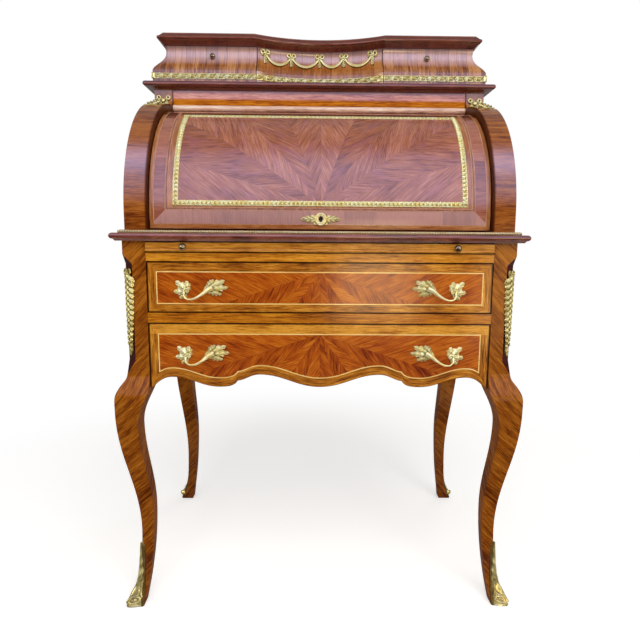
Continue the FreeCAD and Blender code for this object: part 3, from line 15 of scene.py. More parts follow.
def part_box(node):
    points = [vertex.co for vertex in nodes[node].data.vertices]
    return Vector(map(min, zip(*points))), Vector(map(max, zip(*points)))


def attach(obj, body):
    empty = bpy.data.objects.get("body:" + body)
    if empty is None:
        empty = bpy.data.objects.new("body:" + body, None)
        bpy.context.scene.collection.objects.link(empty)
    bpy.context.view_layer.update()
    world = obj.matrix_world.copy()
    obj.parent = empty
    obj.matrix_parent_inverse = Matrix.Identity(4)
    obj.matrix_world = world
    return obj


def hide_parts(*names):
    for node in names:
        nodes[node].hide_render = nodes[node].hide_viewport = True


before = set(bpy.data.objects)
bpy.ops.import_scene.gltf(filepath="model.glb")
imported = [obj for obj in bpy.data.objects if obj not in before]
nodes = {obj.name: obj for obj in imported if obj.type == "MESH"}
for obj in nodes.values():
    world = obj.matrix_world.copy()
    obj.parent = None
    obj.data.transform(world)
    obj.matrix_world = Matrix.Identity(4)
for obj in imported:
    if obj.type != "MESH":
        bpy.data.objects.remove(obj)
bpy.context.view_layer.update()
MM = 0.001

# %% [markdown]
# ## The camera
# The camera stands where a photographer would: a little over a metre from the drawers, at the height of
# the writing surface, tipped down by eight degrees. Its turn is written as three angles, and the three
# axes of the camera follow from them, so the picture keeps the perspective of the real view.

# %% Set up the camera
FOCAL_PIXELS = 563.1
FRAME_PIXELS = 640
SENSOR = 36.0
EYE_PLACE = Vector((-0.0176, -1.2826, 0.7266))
yaw = math.radians(-0.94)
pitch = math.radians(8.25)
roll = math.radians(0.39)

level_right = Vector((math.cos(yaw), math.sin(yaw), 0))
forward = Vector((-math.sin(yaw) * math.cos(pitch), math.cos(yaw) * math.cos(pitch), -math.sin(pitch)))
level_up = level_right.cross(forward)
right = level_right * math.cos(roll) + level_up * math.sin(roll)
up = level_up * math.cos(roll) - level_right * math.sin(roll)

eye_data = bpy.data.cameras.new("eye")
eye_data.sensor_width = SENSOR
eye_data.lens = SENSOR * FOCAL_PIXELS / FRAME_PIXELS
eye = bpy.data.objects.new("eye", eye_data)
eye.matrix_world = Matrix.Translation(EYE_PLACE) @ Matrix((right, up, -forward)).transposed().to_4x4()
bpy.context.scene.collection.objects.link(eye)
bpy.context.scene.camera = eye
bpy.context.scene.view_settings.view_transform = "Standard"
print("lens", round(eye_data.lens, 2), "mm")

# %% [markdown]
# ## Shader sums that read like sums
# Wood and bronze need a good deal of arithmetic: where a leaf of veneer ends, how far a grain line
# runs. Adding Math nodes by hand hides that arithmetic, so one small class wraps a socket and answers
# to plus, minus and the rest. Everything that is not arithmetic comes from one method of the recipe,
# `node`.

# %% A socket that can be reckoned with
class Wire:
    def __init__(self, recipe, socket):
        self.recipe = recipe
        self.socket = socket

    def __add__(self, other):
        return self.recipe.reckon("ADD", self, other)

    def __radd__(self, other):
        return self.recipe.reckon("ADD", other, self)

    def __sub__(self, other):
        return self.recipe.reckon("SUBTRACT", self, other)

    def __rsub__(self, other):
        return self.recipe.reckon("SUBTRACT", other, self)

    def __mul__(self, other):
        return self.recipe.reckon("MULTIPLY", self, other)

    def __rmul__(self, other):
        return self.recipe.reckon("MULTIPLY", other, self)

    def __truediv__(self, other):
        return self.recipe.reckon("DIVIDE", self, other)

    def __rtruediv__(self, other):
        return self.recipe.reckon("DIVIDE", other, self)

    def __mod__(self, other):
        return self.recipe.reckon("FLOORED_MODULO", self, other)

    def __gt__(self, other):
        return self.recipe.reckon("GREATER_THAN", self, other)

    def __lt__(self, other):
        return self.recipe.reckon("LESS_THAN", self, other)

    def __abs__(self):
        return self.recipe.reckon("ABSOLUTE", self)

    def __floor__(self):
        return self.recipe.reckon("FLOOR", self)

    def output(self, name):
        return Wire(self.recipe, self.socket.node.outputs[name])


print("sockets answer to plus, minus, times and the rest")

# %% Fill a ramp and a curve
def fill_ramp(elements, stops):
    while len(elements) > 1:
        elements.remove(elements[-1])
    elements[0].position, elements[0].color = stops[0]
    for position, colour in stops[1:]:
        elements.new(position).color = colour


def fill_curve(mapping, points):
    curve = mapping.curves[0]
    curve.points[0].location = points[0]
    curve.points[1].location = points[-1]
    for place in points[1:-1]:
        curve.points.new(*place)
    mapping.update()


print("ramps and curves can be filled")

# %% A recipe builds one material
class Recipe:
    def __init__(self, tree):
        self.tree = tree
        tree.nodes.clear()

    def node(self, kind, settings=None, sockets=None, out=0):
        made = self.tree.nodes.new(kind)
        for key, value in (settings or {}).items():
            if key == "stops":
                fill_ramp(made.color_ramp.elements, value)
            elif key == "points":
                fill_curve(made.mapping, value)
            else:
                setattr(made, key, value)
        for key, value in (sockets or {}).items():
            if isinstance(value, Wire):
                self.tree.links.new(value.socket, made.inputs[key])
            else:
                made.inputs[key].default_value = value
        return Wire(self, made.outputs[out]) if len(made.outputs) else None

    def reckon(self, operation, *values):
        return self.node("ShaderNodeMath", {"operation": operation}, dict(enumerate(values)))

    def mix(self, share, first, second):
        settings = {"data_type": "RGBA"}
        return self.node("ShaderNodeMix", settings, {0: share, 6: first, 7: second}, out=2)

    def vector(self, x, y, z):
        return self.node("ShaderNodeCombineXYZ", None, {0: x, 1: y, 2: z})

    def noise(self, place, detail=2.0, roughness=0.5):
        sockets = {"Vector": place, "Scale": 1.0, "Detail": detail, "Roughness": roughness}
        return self.node("ShaderNodeTexNoise", None, sockets)

    def chance(self, number):
        return self.node("ShaderNodeTexWhiteNoise", {"noise_dimensions": "1D"}, {"W": number})

    def choose(self, share, first, second):
        return first + (second - first) * share

    def ease(self, value, start, end):
        settings = {"interpolation_type": "SMOOTHSTEP"}
        return self.node("ShaderNodeMapRange", settings, {0: value, 1: start, 2: end, 3: 0.0, 4: 1.0})

    def split(self, vector):
        parts = self.node("ShaderNodeSeparateXYZ", None, {0: vector})
        return [parts.output(axis) for axis in "XYZ"]

    def place(self):
        spot = self.node("ShaderNodeTexCoord", out="Object")
        return [part * (1 / MM) for part in self.split(spot)]

    def facing(self):
        normal = self.node("ShaderNodeTexCoord", out="Normal")
        return [abs(part) for part in self.split(normal)]


print("recipes ready")

# %% [markdown]
# ## Colours as a screen shows them
# The colours in this lesson are written the way a screen shows them, from 0 to 255, because that is how
# one reads them off. Blender reckons with light, so `paint` undoes the curve that every screen applies.

# %% A new finish and its colours
def new_finish(name):
    material = bpy.data.materials.new(name)
    material.use_nodes = True
    return material, Recipe(material.node_tree)


def paint(red, green, blue):
    shares = [value / 255 for value in (red, green, blue)]
    linear = [s / 12.92 if s <= 0.04045 else ((s + 0.055) / 1.055) ** 2.4 for s in shares]
    return (*linear, 1.0)


print("a middle grey gives", round(paint(128, 128, 128)[0], 3), "of the light of white")

# %% [markdown]
# ## Light and floor
# A polished veneer shows the room as much as its own colour. The room here is a studio: a broad soft
# lamp high in front gives most of the light, a cool card below it is seen only as the bluish sheen on
# the polish, and two warm lamps low on the right as a gleam. Two narrow lamps stand so far to the sides
# that no flat front mirrors them: only the bronzes, which turn every way, catch their sparks. One more
# on the left and one behind keep the sides and the back from going black. A dark card and a dark cloth
# in front, which only reflections see, keep the drawers and the legs deep in colour. The floor is pale
# and keeps the shadow; further off it runs into the white of the backdrop.

# %% Hang the lamps
def hang_lamp(name, place, aim, wide, tall, radiance, colour, unseen_by=()):
    light = bpy.data.lights.new(name, "AREA")
    light.shape = "RECTANGLE"
    light.size = wide
    light.size_y = tall
    light.energy = radiance * math.pi * wide * tall
    light.color = colour
    lamp = bpy.data.objects.new(name, light)
    lamp.location = place
    lamp.rotation_euler = (Vector(aim) - Vector(place)).to_track_quat("-Z", "Y").to_euler()
    for kind in ("camera", *unseen_by):
        setattr(lamp, "visible_" + kind, False)
    bpy.context.scene.collection.objects.link(lamp)
    print(name, "gives", round(light.energy, 1), "watts")


SOFT_WHITE = (1, 0.98, 0.95)
GLEAM_AMBER = (1, 0.80, 0.46)
DESK_FRONT = (0, -0.2, 0.7)
DESK_MIDDLE = (0, 0, 0.7)
hang_lamp("soft_lamp", place=(0.3, -2.3, 2.5), aim=DESK_FRONT, wide=2.6, tall=2.6, radiance=3.2,
          colour=SOFT_WHITE, unseen_by=["glossy"])
hang_lamp("gleam_panel", place=(0.30, -1.9, 0.50), aim=(0.1, -0.2, 0.66), wide=0.38, tall=0.3, radiance=7.0,
          colour=GLEAM_AMBER, unseen_by=["diffuse"])
hang_lamp("right_gleam", place=(1.05, -1.9, 0.5), aim=(0.3, -0.2, 0.62), wide=0.6, tall=0.6, radiance=3.6,
          colour=GLEAM_AMBER, unseen_by=["diffuse"])
hang_lamp("left_strip", place=(-2.6, -0.9, 1.4), aim=DESK_MIDDLE, wide=0.9, tall=1.8, radiance=0.7,
          colour=SOFT_WHITE)
hang_lamp("back_strip", place=(1.6, 2.6, 1.9), aim=DESK_MIDDLE, wide=1.6, tall=1.6, radiance=1.4,
          colour=SOFT_WHITE)
for side, name in ((-1, "left_spark"), (1, "right_spark")):
    hang_lamp(name, place=(side * 2.0, -1.5, 1.5), aim=DESK_FRONT, wide=0.5, tall=1.3, radiance=5.0,
              colour=SOFT_WHITE, unseen_by=["diffuse"])

# %% Make the sky
SKY_LEVEL = 0.30
WHITE = (1, 1, 1, 1)
world = bpy.data.worlds.new("studio")
bpy.context.scene.world = world
world.use_nodes = True
sky = Recipe(world.node_tree)
seen = sky.node("ShaderNodeLightPath", out="Is Camera Ray")
shown = sky.reckon("MAXIMUM", seen, seen.output("Is Transmission Ray"))
backdrop = sky.node("ShaderNodeBackground", None, {"Color": WHITE, "Strength": 1.0})
fill = sky.node("ShaderNodeBackground", None, {"Color": WHITE, "Strength": SKY_LEVEL})
both = sky.node("ShaderNodeMixShader", None, {0: shown, 1: fill, 2: backdrop})
sky.node("ShaderNodeOutputWorld", None, {"Surface": both})
print("sky level", SKY_LEVEL)

# %% Lay the floor
FLOOR_REACH = 14.0
FADE_START = 650.0
FADE_END = 1500.0
CHALK_GLOW = 0.5


def flat_sheet(name, half, foot, head):
    mesh = bpy.data.meshes.new(name)
    mesh.from_pydata([(-half, *foot), (half, *foot), (half, *head), (-half, *head)], [], [(0, 1, 2, 3)])
    sheet = bpy.data.objects.new(name, mesh)
    bpy.context.scene.collection.objects.link(sheet)
    return sheet


floor = flat_sheet("floor", FLOOR_REACH, (-FLOOR_REACH, 0), (FLOOR_REACH, 0))
floor_paint, recipe = new_finish("pale_floor")
x, y = recipe.place()[:2]
far = recipe.ease(recipe.reckon("SQRT", x * x + y * y), FADE_START, FADE_END)
seen = recipe.node("ShaderNodeLightPath", out="Is Camera Ray")
chalk = recipe.node("ShaderNodeBsdfDiffuse", None, {"Color": paint(236, 235, 233)})
lit_chalk = recipe.node("ShaderNodeEmission", None, {"Color": WHITE, "Strength": CHALK_GLOW})
near_floor = recipe.node("ShaderNodeAddShader", None, {0: chalk, 1: lit_chalk})
white = recipe.node("ShaderNodeEmission", None, {"Color": WHITE, "Strength": 1.0})
seen_floor = recipe.node("ShaderNodeMixShader", None, {0: far, 1: near_floor, 2: white})
ground = recipe.node("ShaderNodeMixShader", None, {0: seen, 1: chalk, 2: seen_floor})
recipe.node("ShaderNodeOutputMaterial", None, {"Surface": ground})
floor.data.materials.append(floor_paint)
print("floor runs into white", round(FADE_END), "mm from the middle")

# %% Stand the dark card and spread the dark cloth
CARD_HALF = 2.6
CARD_LINE = -2.0
CARD_FOOT = 0.02
CARD_TOP = 0.92
CLOTH_EDGE = -0.42
CLOTH_LIFT = 0.003
NAP_SIZE = 40.0
felt, recipe = new_finish("dark_felt")
x, y, z = recipe.place()
nap = recipe.noise(recipe.vector(x / NAP_SIZE, y / NAP_SIZE, z / NAP_SIZE))
felt_colour = recipe.mix(nap, paint(26, 20, 16), paint(44, 34, 27))
cloth = recipe.node("ShaderNodeBsdfDiffuse", None, {"Color": felt_colour})
recipe.node("ShaderNodeOutputMaterial", None, {"Surface": cloth})
card = flat_sheet("dark_card", CARD_HALF, (CARD_LINE, CARD_FOOT), (CARD_LINE, CARD_TOP))
spread = flat_sheet("dark_cloth", CARD_HALF, (CARD_LINE, CLOTH_LIFT), (CLOTH_EDGE, CLOTH_LIFT))
print("cloth ends", round(-CLOTH_EDGE / MM), "mm before the middle of the desk")

# %% Lean the cool card
SHEEN_FOOT = (-3.0, 1.4)
SHEEN_HEAD = (-0.35, 3.4)
SHEEN_HALF = 1.7
SHEEN_FULL = 2500.0
sheen_card = flat_sheet("sheen_card", SHEEN_HALF, SHEEN_FOOT, SHEEN_HEAD)
cool_white, recipe = new_finish("cool_white")
height = recipe.place()[2]
fade = recipe.ease(height, SHEEN_HEAD[1] / MM, SHEEN_FULL)
cool = recipe.mix(fade, (0.2, 0.2, 0.24, 1), (1.0, 1.14, 1.86, 1))
glow = recipe.node("ShaderNodeEmission", None, {"Color": cool, "Strength": 1.0})
recipe.node("ShaderNodeOutputMaterial", None, {"Surface": glow})
for sheet, finish in ((card, felt), (spread, felt), (sheen_card, cool_white)):
    sheet.visible_camera = False
    sheet.visible_diffuse = False
    sheet.visible_shadow = False
    sheet.data.materials.append(finish)
    print(sheet.name, "is seen only in reflections")

# %% [markdown]
# ## What a sheet of veneer looks like
# A sheet of kingwood or tulipwood veneer has four scales of detail: clouds as broad as a hand, a figure
# as wide as a finger, short streaks along the grain, and dark pores. All four are noise stretched along
# the grain. The two coordinates of the sheet, along and across, are worked out for each piece, so the
# grain runs as the cabinetmaker laid it.

# %% Grain of one sheet
CLOUD_SIZE = (62.0, 34.0)
FIGURE_LENGTH = 95.0
STREAK_LENGTH = 26.0
PORE_SIZE = (15.0, 1.3)
PORE_DARKNESS = 0.42
FIGURE_SHARE = 0.75
STREAK_SHARE = 1.25


def grain(recipe, along, across, sheet, figure_width, streak_width):
    # Each scale is cut at its own depth of the noise, so that no two scales and no two sheets look alike
    cloud_place = recipe.vector(along / CLOUD_SIZE[0], across / CLOUD_SIZE[1], sheet * 5.13 + 20)
    figure_place = recipe.vector(along / FIGURE_LENGTH, across / figure_width, sheet * 7.31)
    streak_place = recipe.vector(along / STREAK_LENGTH, across / streak_width, sheet * 3.17 + 40)
    pore_place = recipe.vector(along / PORE_SIZE[0], across / PORE_SIZE[1], sheet + 80)
    cloud = recipe.noise(cloud_place, 2.0)
    figure = recipe.noise(figure_place, 3.0, 0.55)
    streak = recipe.noise(streak_place, 3.0, 0.65)
    pore = recipe.noise(pore_place, 2.0, 0.6)
    return cloud, figure, streak, recipe.ease(pore, 0.56, 0.64)


def stain(recipe, value, tones):
    dark, middle, light = tones
    stops = [(0.18, dark), (0.5, middle), (0.84, light)]
    return recipe.node("ShaderNodeValToRGB", {"stops": stops}, {0: value})


def veneer(recipe, along, across, sheet, tones, contrast=1.0, shift=0.0, figure_width=8.0, streak_width=1.9,
           cloudy=0.6):
    cloud, figure, streak, pore = grain(recipe, along, across, sheet, figure_width, streak_width)
    value = (cloud - 0.5) * cloudy + (figure - 0.5) * FIGURE_SHARE + (streak - 0.5) * STREAK_SHARE
    colour = stain(recipe, 0.5 + value * contrast + shift, tones)
    return recipe.mix(pore * PORE_DARKNESS, colour, tones[0]), streak, pore


print("veneer ready: clouds", CLOUD_SIZE[0], "mm long, pores", PORE_SIZE[0], "mm")

# %% [markdown]
# ## The polish
# The desk is French polished: many thin coats of shellac, hard and clear, with a slight ripple that
# bends the reflections. A clear coat over a dull base gives that, the pores sink a little, and a Bevel
# node softens the arrises that a scraper and years of dusting have rounded. The show faces carry more
# coats than the legs. Where the rounded normal parts from the flat one there is an edge: on the
# drawers, rails and other veneered fronts it is painted dark, a painted shade of the gaps between
# parts, and on the mouldings it is painted pale, partly rubbed wear and partly a painted highlight.

# %% Polish a wood
COAT_IOR = 1.85
RIPPLE_SIZE = 34.0
WEAR_SIZE = 70.0


# Paints a tone along the edges of a piece: a painted shade or a pale, partly painted highlight
def mark_edges(recipe, colour, tone, share, reach):
    rounded = recipe.node("ShaderNodeBevel", {"samples": 4}, {"Radius": reach})
    flat = recipe.node("ShaderNodeNewGeometry", out="Normal")
    dot = {"operation": "DOT_PRODUCT"}
    same = recipe.node("ShaderNodeVectorMath", dot, {0: rounded, 1: flat}, out="Value")
    return recipe.mix((1 - recipe.ease(same, 0.90, 0.99)) * share, colour, tone)


def polish(recipe, material, colour, streak, pore, coat=0.35, roughness=0.55, arris=0.0007):
    x, y, z = recipe.place()
    ripple = recipe.noise(recipe.vector(x / RIPPLE_SIZE, y / RIPPLE_SIZE, z / RIPPLE_SIZE), 1.0)
    worn = recipe.noise(recipe.vector(x / WEAR_SIZE + 9, y / WEAR_SIZE, z / WEAR_SIZE), 2.0)
    height = ripple * 1.2 + streak * 0.10 - pore * 0.16
    edge = recipe.node("ShaderNodeBevel", {"samples": 3}, {"Radius": arris})
    bump = recipe.node("ShaderNodeBump", None, {
        "Strength": 0.35, "Distance": 0.0006, "Height": height, "Normal": edge})
    shader = recipe.node("ShaderNodeBsdfPrincipled", None, {
        "Base Color": colour, "Roughness": roughness + (worn - 0.5) * 0.22 + pore * 0.15, "Normal": bump,
        "Coat Weight": coat * (0.8 + worn * 0.4), "Coat Roughness": 0.17, "Coat IOR": COAT_IOR,
        "Specular IOR Level": 0.02})
    recipe.node("ShaderNodeOutputMaterial", None, {"Surface": shader})
    return material


def dress(material, *names):
    for name in names:
        slots = nodes[name].data.materials
        slots.clear()
        slots.append(material)
    print(material.name, "on", ", ".join(names))


print("polish ready")

# %% [markdown]
# ## Straight-grained rails
# The two rails and the lip of the slide are faced with kingwood whose grain runs along them and turns
# over their edges. The three pieces came from different sheets, so each has its own sheet number and
# its own tones.

# %% Rails and lip
# Edges painted dark: a painted shade where the gaps between parts fall dark
EDGE_SHADE = paint(38, 15, 6)
SHEET_STEP = 90
OVER_EDGE = 0.8


def straight_wood(name, sheet, tones):
    material, recipe = new_finish(name)
    x, y, z = recipe.place()
    colour, streak, pore = veneer(recipe, x + sheet * SHEET_STEP, z + y * OVER_EDGE, sheet, tones)
    # painted shade along the edges of the rails
    colour = mark_edges(recipe, colour, EDGE_SHADE, share=0.85, reach=0.0016)
    return polish(recipe, material, colour, streak, pore)


LIP_TONES = (paint(140, 78, 16), paint(204, 134, 40), paint(232, 168, 70))
SLIDE_RAIL_TONES = (paint(128, 66, 8), paint(202, 126, 24), paint(228, 160, 48))
RAIL_TONES = (paint(104, 46, 4), paint(180, 102, 10), paint(208, 138, 30))
dress(straight_wood("slide_lip_kingwood", 1, LIP_TONES), "slide_lip")
dress(straight_wood("slide_rail_kingwood", 2, SLIDE_RAIL_TONES), "slide_rail")
dress(straight_wood("drawer_rail_kingwood", 3, RAIL_TONES), "drawer_rail")

# %% [markdown]
# ## The frieze
# The frieze above the cylinder is three mouldings in one: a flat that shines, a hollow that stays dull
# and warm, and a half-round bead at its foot. One sheet of grain runs through all three, stained three
# ways: the flat lighter and pinker, partly its wood and partly a painted sheen, and the bead pale, a
# painted highlight. Under the cornice a painted shadow darkens the flat, and the sunk line above the
# bead is painted dark as painted shade.

# %% Veneer the frieze
FRIEZE_SHEET = 4
FRIEZE_CONTRAST = 1.2
BEAD_TOP = 1013.6
HOLLOW_TOP = 1027.0
FRIEZE_TOP = 1044.0
# The flat's tones carry a painted sheen and the bead's tones a painted highlight
FLAT_AND_SHEEN_TONES = (paint(166, 82, 58), paint(222, 132, 94), paint(244, 168, 130))
WARM_TONES = (paint(138, 66, 2), paint(194, 108, 4), paint(222, 142, 26))
BEAD_HIGHLIGHT_TONES = (paint(190, 144, 116), paint(240, 198, 168), paint(252, 228, 206))
frieze_kingwood, recipe = new_finish("frieze_kingwood")
x, y, z = recipe.place()
laid = (x + FRIEZE_SHEET * SHEET_STEP, z + y * OVER_EDGE, FRIEZE_SHEET)
colour, streak, pore = veneer(recipe, *laid, FLAT_AND_SHEEN_TONES, FRIEZE_CONTRAST)
warm_colour = veneer(recipe, *laid, WARM_TONES, FRIEZE_CONTRAST)[0]
bead_highlight_colour = veneer(recipe, *laid, BEAD_HIGHLIGHT_TONES, FRIEZE_CONTRAST)[0]
hollow = (z > BEAD_TOP) * (1 - recipe.ease(z, HOLLOW_TOP - 3, HOLLOW_TOP + 3))
colour = recipe.mix(hollow, colour, warm_colour)
colour = recipe.mix(z < BEAD_TOP, colour, bead_highlight_colour)
# Painted shadow under the cornice and painted shade in the sunk line above the bead
cornice_shadow = recipe.ease(z, FRIEZE_TOP - 7, FRIEZE_TOP)
quirk_shade = 1 - recipe.ease(abs(z - BEAD_TOP), 0.3, 1.6)
colour = recipe.mix(cornice_shadow * 0.6, colour, paint(70, 30, 24))
colour = recipe.mix(quirk_shade * 0.5, colour, paint(92, 44, 16))
polish(recipe, frieze_kingwood, colour, streak, pore, coat=1 - hollow * 0.97)
dress(frieze_kingwood, "frieze")

# %% [markdown]
# ## The legs
# Each leg is banded on the slant: the grain climbs inwards at 45 degrees on both shown faces and meets
# in a point at the arris. One number, the distance inwards from the arris, gives that on all four legs,
# because it counts from the corner on either face. The canted corner between the faces is plain dark
# mahogany.

# %% Slanting bands on the legs
HALF_WIDTH = 364.0
HALF_DEPTH = 238.0
DIAGONAL = 0.7071
LEG_BAND = 31.0
SHADE_LINE = 330.0
CANT_FOOT = 470.0
CANT_HEAD = 690.0
LEG_TONES = (paint(82, 32, 3), paint(142, 74, 10), paint(180, 110, 28))
CANT_TONES = (paint(44, 8, 5), paint(70, 15, 9), paint(94, 26, 14))
leg_kingwood, recipe = new_finish("leg_kingwood")
x, y, z = recipe.place()
inwards = (HALF_WIDTH - abs(x)) + (HALF_DEPTH - abs(y))
along = (z + inwards) * DIAGONAL
across = (z - inwards) * DIAGONAL
band = math.floor(across / LEG_BAND)
# Below the shade line the legs are painted darker: painted shade low on the legs
shift = (recipe.chance(band) - 0.5) * 0.2 - (z < SHADE_LINE) * 0.08 + 0.03
colour, streak, pore = veneer(recipe, along, across, 5 + band, LEG_TONES, contrast=1.2, shift=shift,
                              figure_width=5.0, cloudy=0.35)
normal_x, normal_y = recipe.facing()[:2]
corner = (normal_x > 0.5) * (normal_y > 0.5) * (z > CANT_FOOT) * (z < CANT_HEAD) * (y < 0)
cant_colour = veneer(recipe, z, x - y, 6, CANT_TONES)[0]
colour = recipe.mix(corner, colour, cant_colour)
polish(recipe, leg_kingwood, colour, streak, pore, coat=0.14)
dress(leg_kingwood, "front_left_leg", "front_right_leg", "rear_left_leg", "rear_right_leg")

# %% [markdown]
# ## A fan of leaves
# The cylinder and the drawers carry the showpiece of the veneering: leaves cut from one log are laid as
# the rays of a fan, each with its grain leaning the other way, so that neighbours catch the light
# differently. The angle round the middle of the fan tells which leaf a point is in, and the leaf's own
# turn gives its grain.

# %% Work out a fan
LEAF_ANGLE = math.radians(18)


def fan(recipe, out, rise, lean, first_way):
    angle = recipe.reckon("ARCTAN2", rise, out)
    leaf = math.floor(angle / LEAF_ANGLE)
    way = (leaf % 2) * (-2 * first_way) + first_way
    grain_angle = (leaf + 0.5) * LEAF_ANGLE + way * lean
    cosine = recipe.reckon("COSINE", grain_angle)
    sine = recipe.reckon("SINE", grain_angle)
    along = out * cosine + rise * sine
    across = rise * cosine - out * sine
    reach = recipe.reckon("SQRT", out * out + rise * rise)
    into_leaf = abs((angle / LEAF_ANGLE) % 1 - 0.5)
    from_joint = (0.5 - into_leaf) * LEAF_ANGLE * reach
    joint = 1 - recipe.ease(from_joint, 0.1, 0.5)
    return along, across, leaf, way, joint


print("fan ready")

# %% [markdown]
# ## The cylinder
# The fall is a quarter of a cylinder, so its veneer is laid out as if it were unrolled: x across, and
# the arc length from the writing surface up. Inside the bronze frame lies the fan, then a narrow band,
# then a crossband with its grain across, and an outer strip with straight grain. Above the frame, where
# the fall goes in under the frieze, a dark band is painted as the frieze's shadow. The hollow side is
# plain mahogany.

# %% Unroll the cylinder
ROLL_Y = 9.0
ROLL_Z = 772.0
FALL_RADIUS = 222.0
FRAME_HALF = 275.0
FRAME_FOOT = math.radians(3.5)
FRAME_HEAD = math.radians(64.0)
FOOT_ARC = FRAME_FOOT * FALL_RADIUS
HEAD_ARC = FRAME_HEAD * FALL_RADIUS


def round_the_roll(recipe, y, z):
    up = z - ROLL_Z
    out = ROLL_Y - y
    return recipe.reckon("ARCTAN2", up, out), recipe.reckon("SQRT", up * up + out * out)


cylinder_fan, recipe = new_finish("cylinder_fan")
x, y, z = recipe.place()
turn, reach = round_the_roll(recipe, y, z)
arc = turn * FALL_RADIUS
side = abs(x)
print("the frame is", 2 * FRAME_HALF, "mm wide and", round(HEAD_ARC - FOOT_ARC, 1), "mm round the fall")

# %% Lay the fan on the cylinder
FAN_LEAN = math.radians(30)
FAN_TONES = (paint(110, 52, 38), paint(158, 90, 66), paint(192, 124, 96))
along, across, leaf, way, joint = fan(recipe, side, arc - FOOT_ARC, FAN_LEAN, 1.0)
fan_sheet = leaf + (x > 0) * 9
shift = way * 0.04 + (recipe.chance(fan_sheet) - 0.5) * 0.12
fan_colour, fan_streak, fan_pore = veneer(recipe, along, across, fan_sheet, FAN_TONES, contrast=1.1,
                                          shift=shift, figure_width=5.0, streak_width=1.5)
blush = recipe.noise(recipe.vector(along / 44, across / 13, fan_sheet * 2.7 + 5), 2.0)
fan_colour = recipe.mix(recipe.ease(blush, 0.52, 0.68) * 0.42, fan_colour, paint(166, 94, 46))
fan_colour = recipe.mix(recipe.ease(blush, 0.46, 0.32) * 0.35, fan_colour, paint(158, 92, 104))
fan_colour = recipe.mix(joint * 0.35, fan_colour, paint(92, 46, 36))
print("fan of", round(math.pi / LEAF_ANGLE), "leaves")

# %% Lay the bands round the fan
OUTER_STRING = 311.0
INNER_STRING = 287.0
OUTER_STRING_ANGLE = math.radians(-5.2)
INNER_STRING_ANGLE = math.radians(2.1)
BAND_PIECE = 62.0
BAND_TONES = (paint(116, 56, 42), paint(154, 88, 68), paint(180, 114, 90))
STRIP_TONES = (paint(132, 72, 34), paint(172, 106, 58), paint(198, 136, 84))
in_foot = turn < INNER_STRING_ANGLE
mitre = (side - INNER_STRING) > (INNER_STRING_ANGLE - turn) * FALL_RADIUS
foot_band = in_foot * (1 - mitre)
band_along = recipe.choose(foot_band, x, arc)
band_across = recipe.choose(foot_band, arc, x)
piece = math.floor(band_across / BAND_PIECE + 0.3)
# The foot of the crossband is painted paler and pinker: partly a paler wood, partly a painted sheen
shift = (recipe.chance(piece) - 0.5) * 0.6 + foot_band * 0.2
band_colour = veneer(recipe, band_along, band_across, piece + 20, BAND_TONES, contrast=0.9, shift=shift)[0]
band_colour = recipe.mix(foot_band * 0.42, band_colour, paint(206, 174, 178))
strip_colour = veneer(recipe, band_across, band_along, 31, STRIP_TONES)[0]
in_band = ((side > INNER_STRING) + in_foot) > 0.5
in_strip = ((side > OUTER_STRING) + (turn < OUTER_STRING_ANGLE)) > 0.5
beside_frame = ((side > FRAME_HALF - 4) + (turn < FRAME_FOOT + 0.01)) > 0.5
colour = recipe.mix(beside_frame, fan_colour, strip_colour)
colour = recipe.mix(in_band, colour, band_colour)
colour = recipe.mix(in_strip, colour, strip_colour)
print("crossband", OUTER_STRING - INNER_STRING, "mm wide")

# %% Polish the cylinder
SHADOW_LINE = math.radians(64.8)
HOLLOW_TONES = (paint(70, 28, 16), paint(104, 48, 28), paint(130, 66, 40))
# A dark band painted above the frame: the painted shadow of the frieze on the fall
shadow_rise = recipe.ease(turn, SHADOW_LINE, SHADOW_LINE + 0.03)
shadow_fall = recipe.ease(turn, SHADOW_LINE + 0.16, SHADOW_LINE + 0.05)
painted_shadow = shadow_rise * shadow_fall
colour = recipe.mix(painted_shadow * 0.85, colour, paint(30, 12, 7))
hollow_colour = veneer(recipe, x, arc, 33, HOLLOW_TONES)[0]
colour = recipe.mix(reach < FALL_RADIUS - 2, colour, hollow_colour)
# painted shade along the edges of the fall
colour = mark_edges(recipe, colour, EDGE_SHADE, share=0.8, reach=0.0016)
coat = (1 - in_foot * 0.8) * (1 - painted_shadow * 0.8)
polish(recipe, cylinder_fan, colour, fan_streak, fan_pore, coat)
dress(cylinder_fan, "cylinder_fall")

# %% [markdown]
# ## The drawer fronts
# Both drawer fronts have the same parts: a field with a fan that opens from the middle of its upper
# edge, and a golden border with straight grain, mitred at the corners. The lower one is cut as an
# apron, and its border follows the scalloped edge. That edge is read from the frame's own mesh, so the
# border cannot drift from it.

# %% Read the scalloped edge
FRONT_FACE = -HALF_DEPTH
EDGE_STEPS = 64
APRON_LIMIT = 500.0


def lower_edge(name, face_y, count):
    points = [v.co / MM for v in nodes[name].data.vertices if v.co.y / MM < face_y + 0.3]
    lowest = {}
    for point in points:
        key = round(abs(point.x))
        lowest[key] = min(lowest.get(key, APRON_LIMIT), point.z)
    known = sorted((key, height) for key, height in lowest.items() if height < APRON_LIMIT)
    edge = []
    for step in range(count + 1):
        want = known[-1][0] * step / count
        after = next(i for i, (key, height) in enumerate(known) if key >= want)
        before = max(after - 1, 0)
        (x0, z0), (x1, z1) = known[before], known[after]
        share = (want - x0) / (x1 - x0) if x1 > x0 else 0
        edge.append((want, z0 + (z1 - z0) * share))
    return edge


APRON_EDGE = lower_edge("lower_drawer_front", FRONT_FACE, EDGE_STEPS)
edge_heights = [height for place, height in APRON_EDGE]
print("apron edge from", round(min(edge_heights), 1), "to", round(max(edge_heights), 1), "mm")

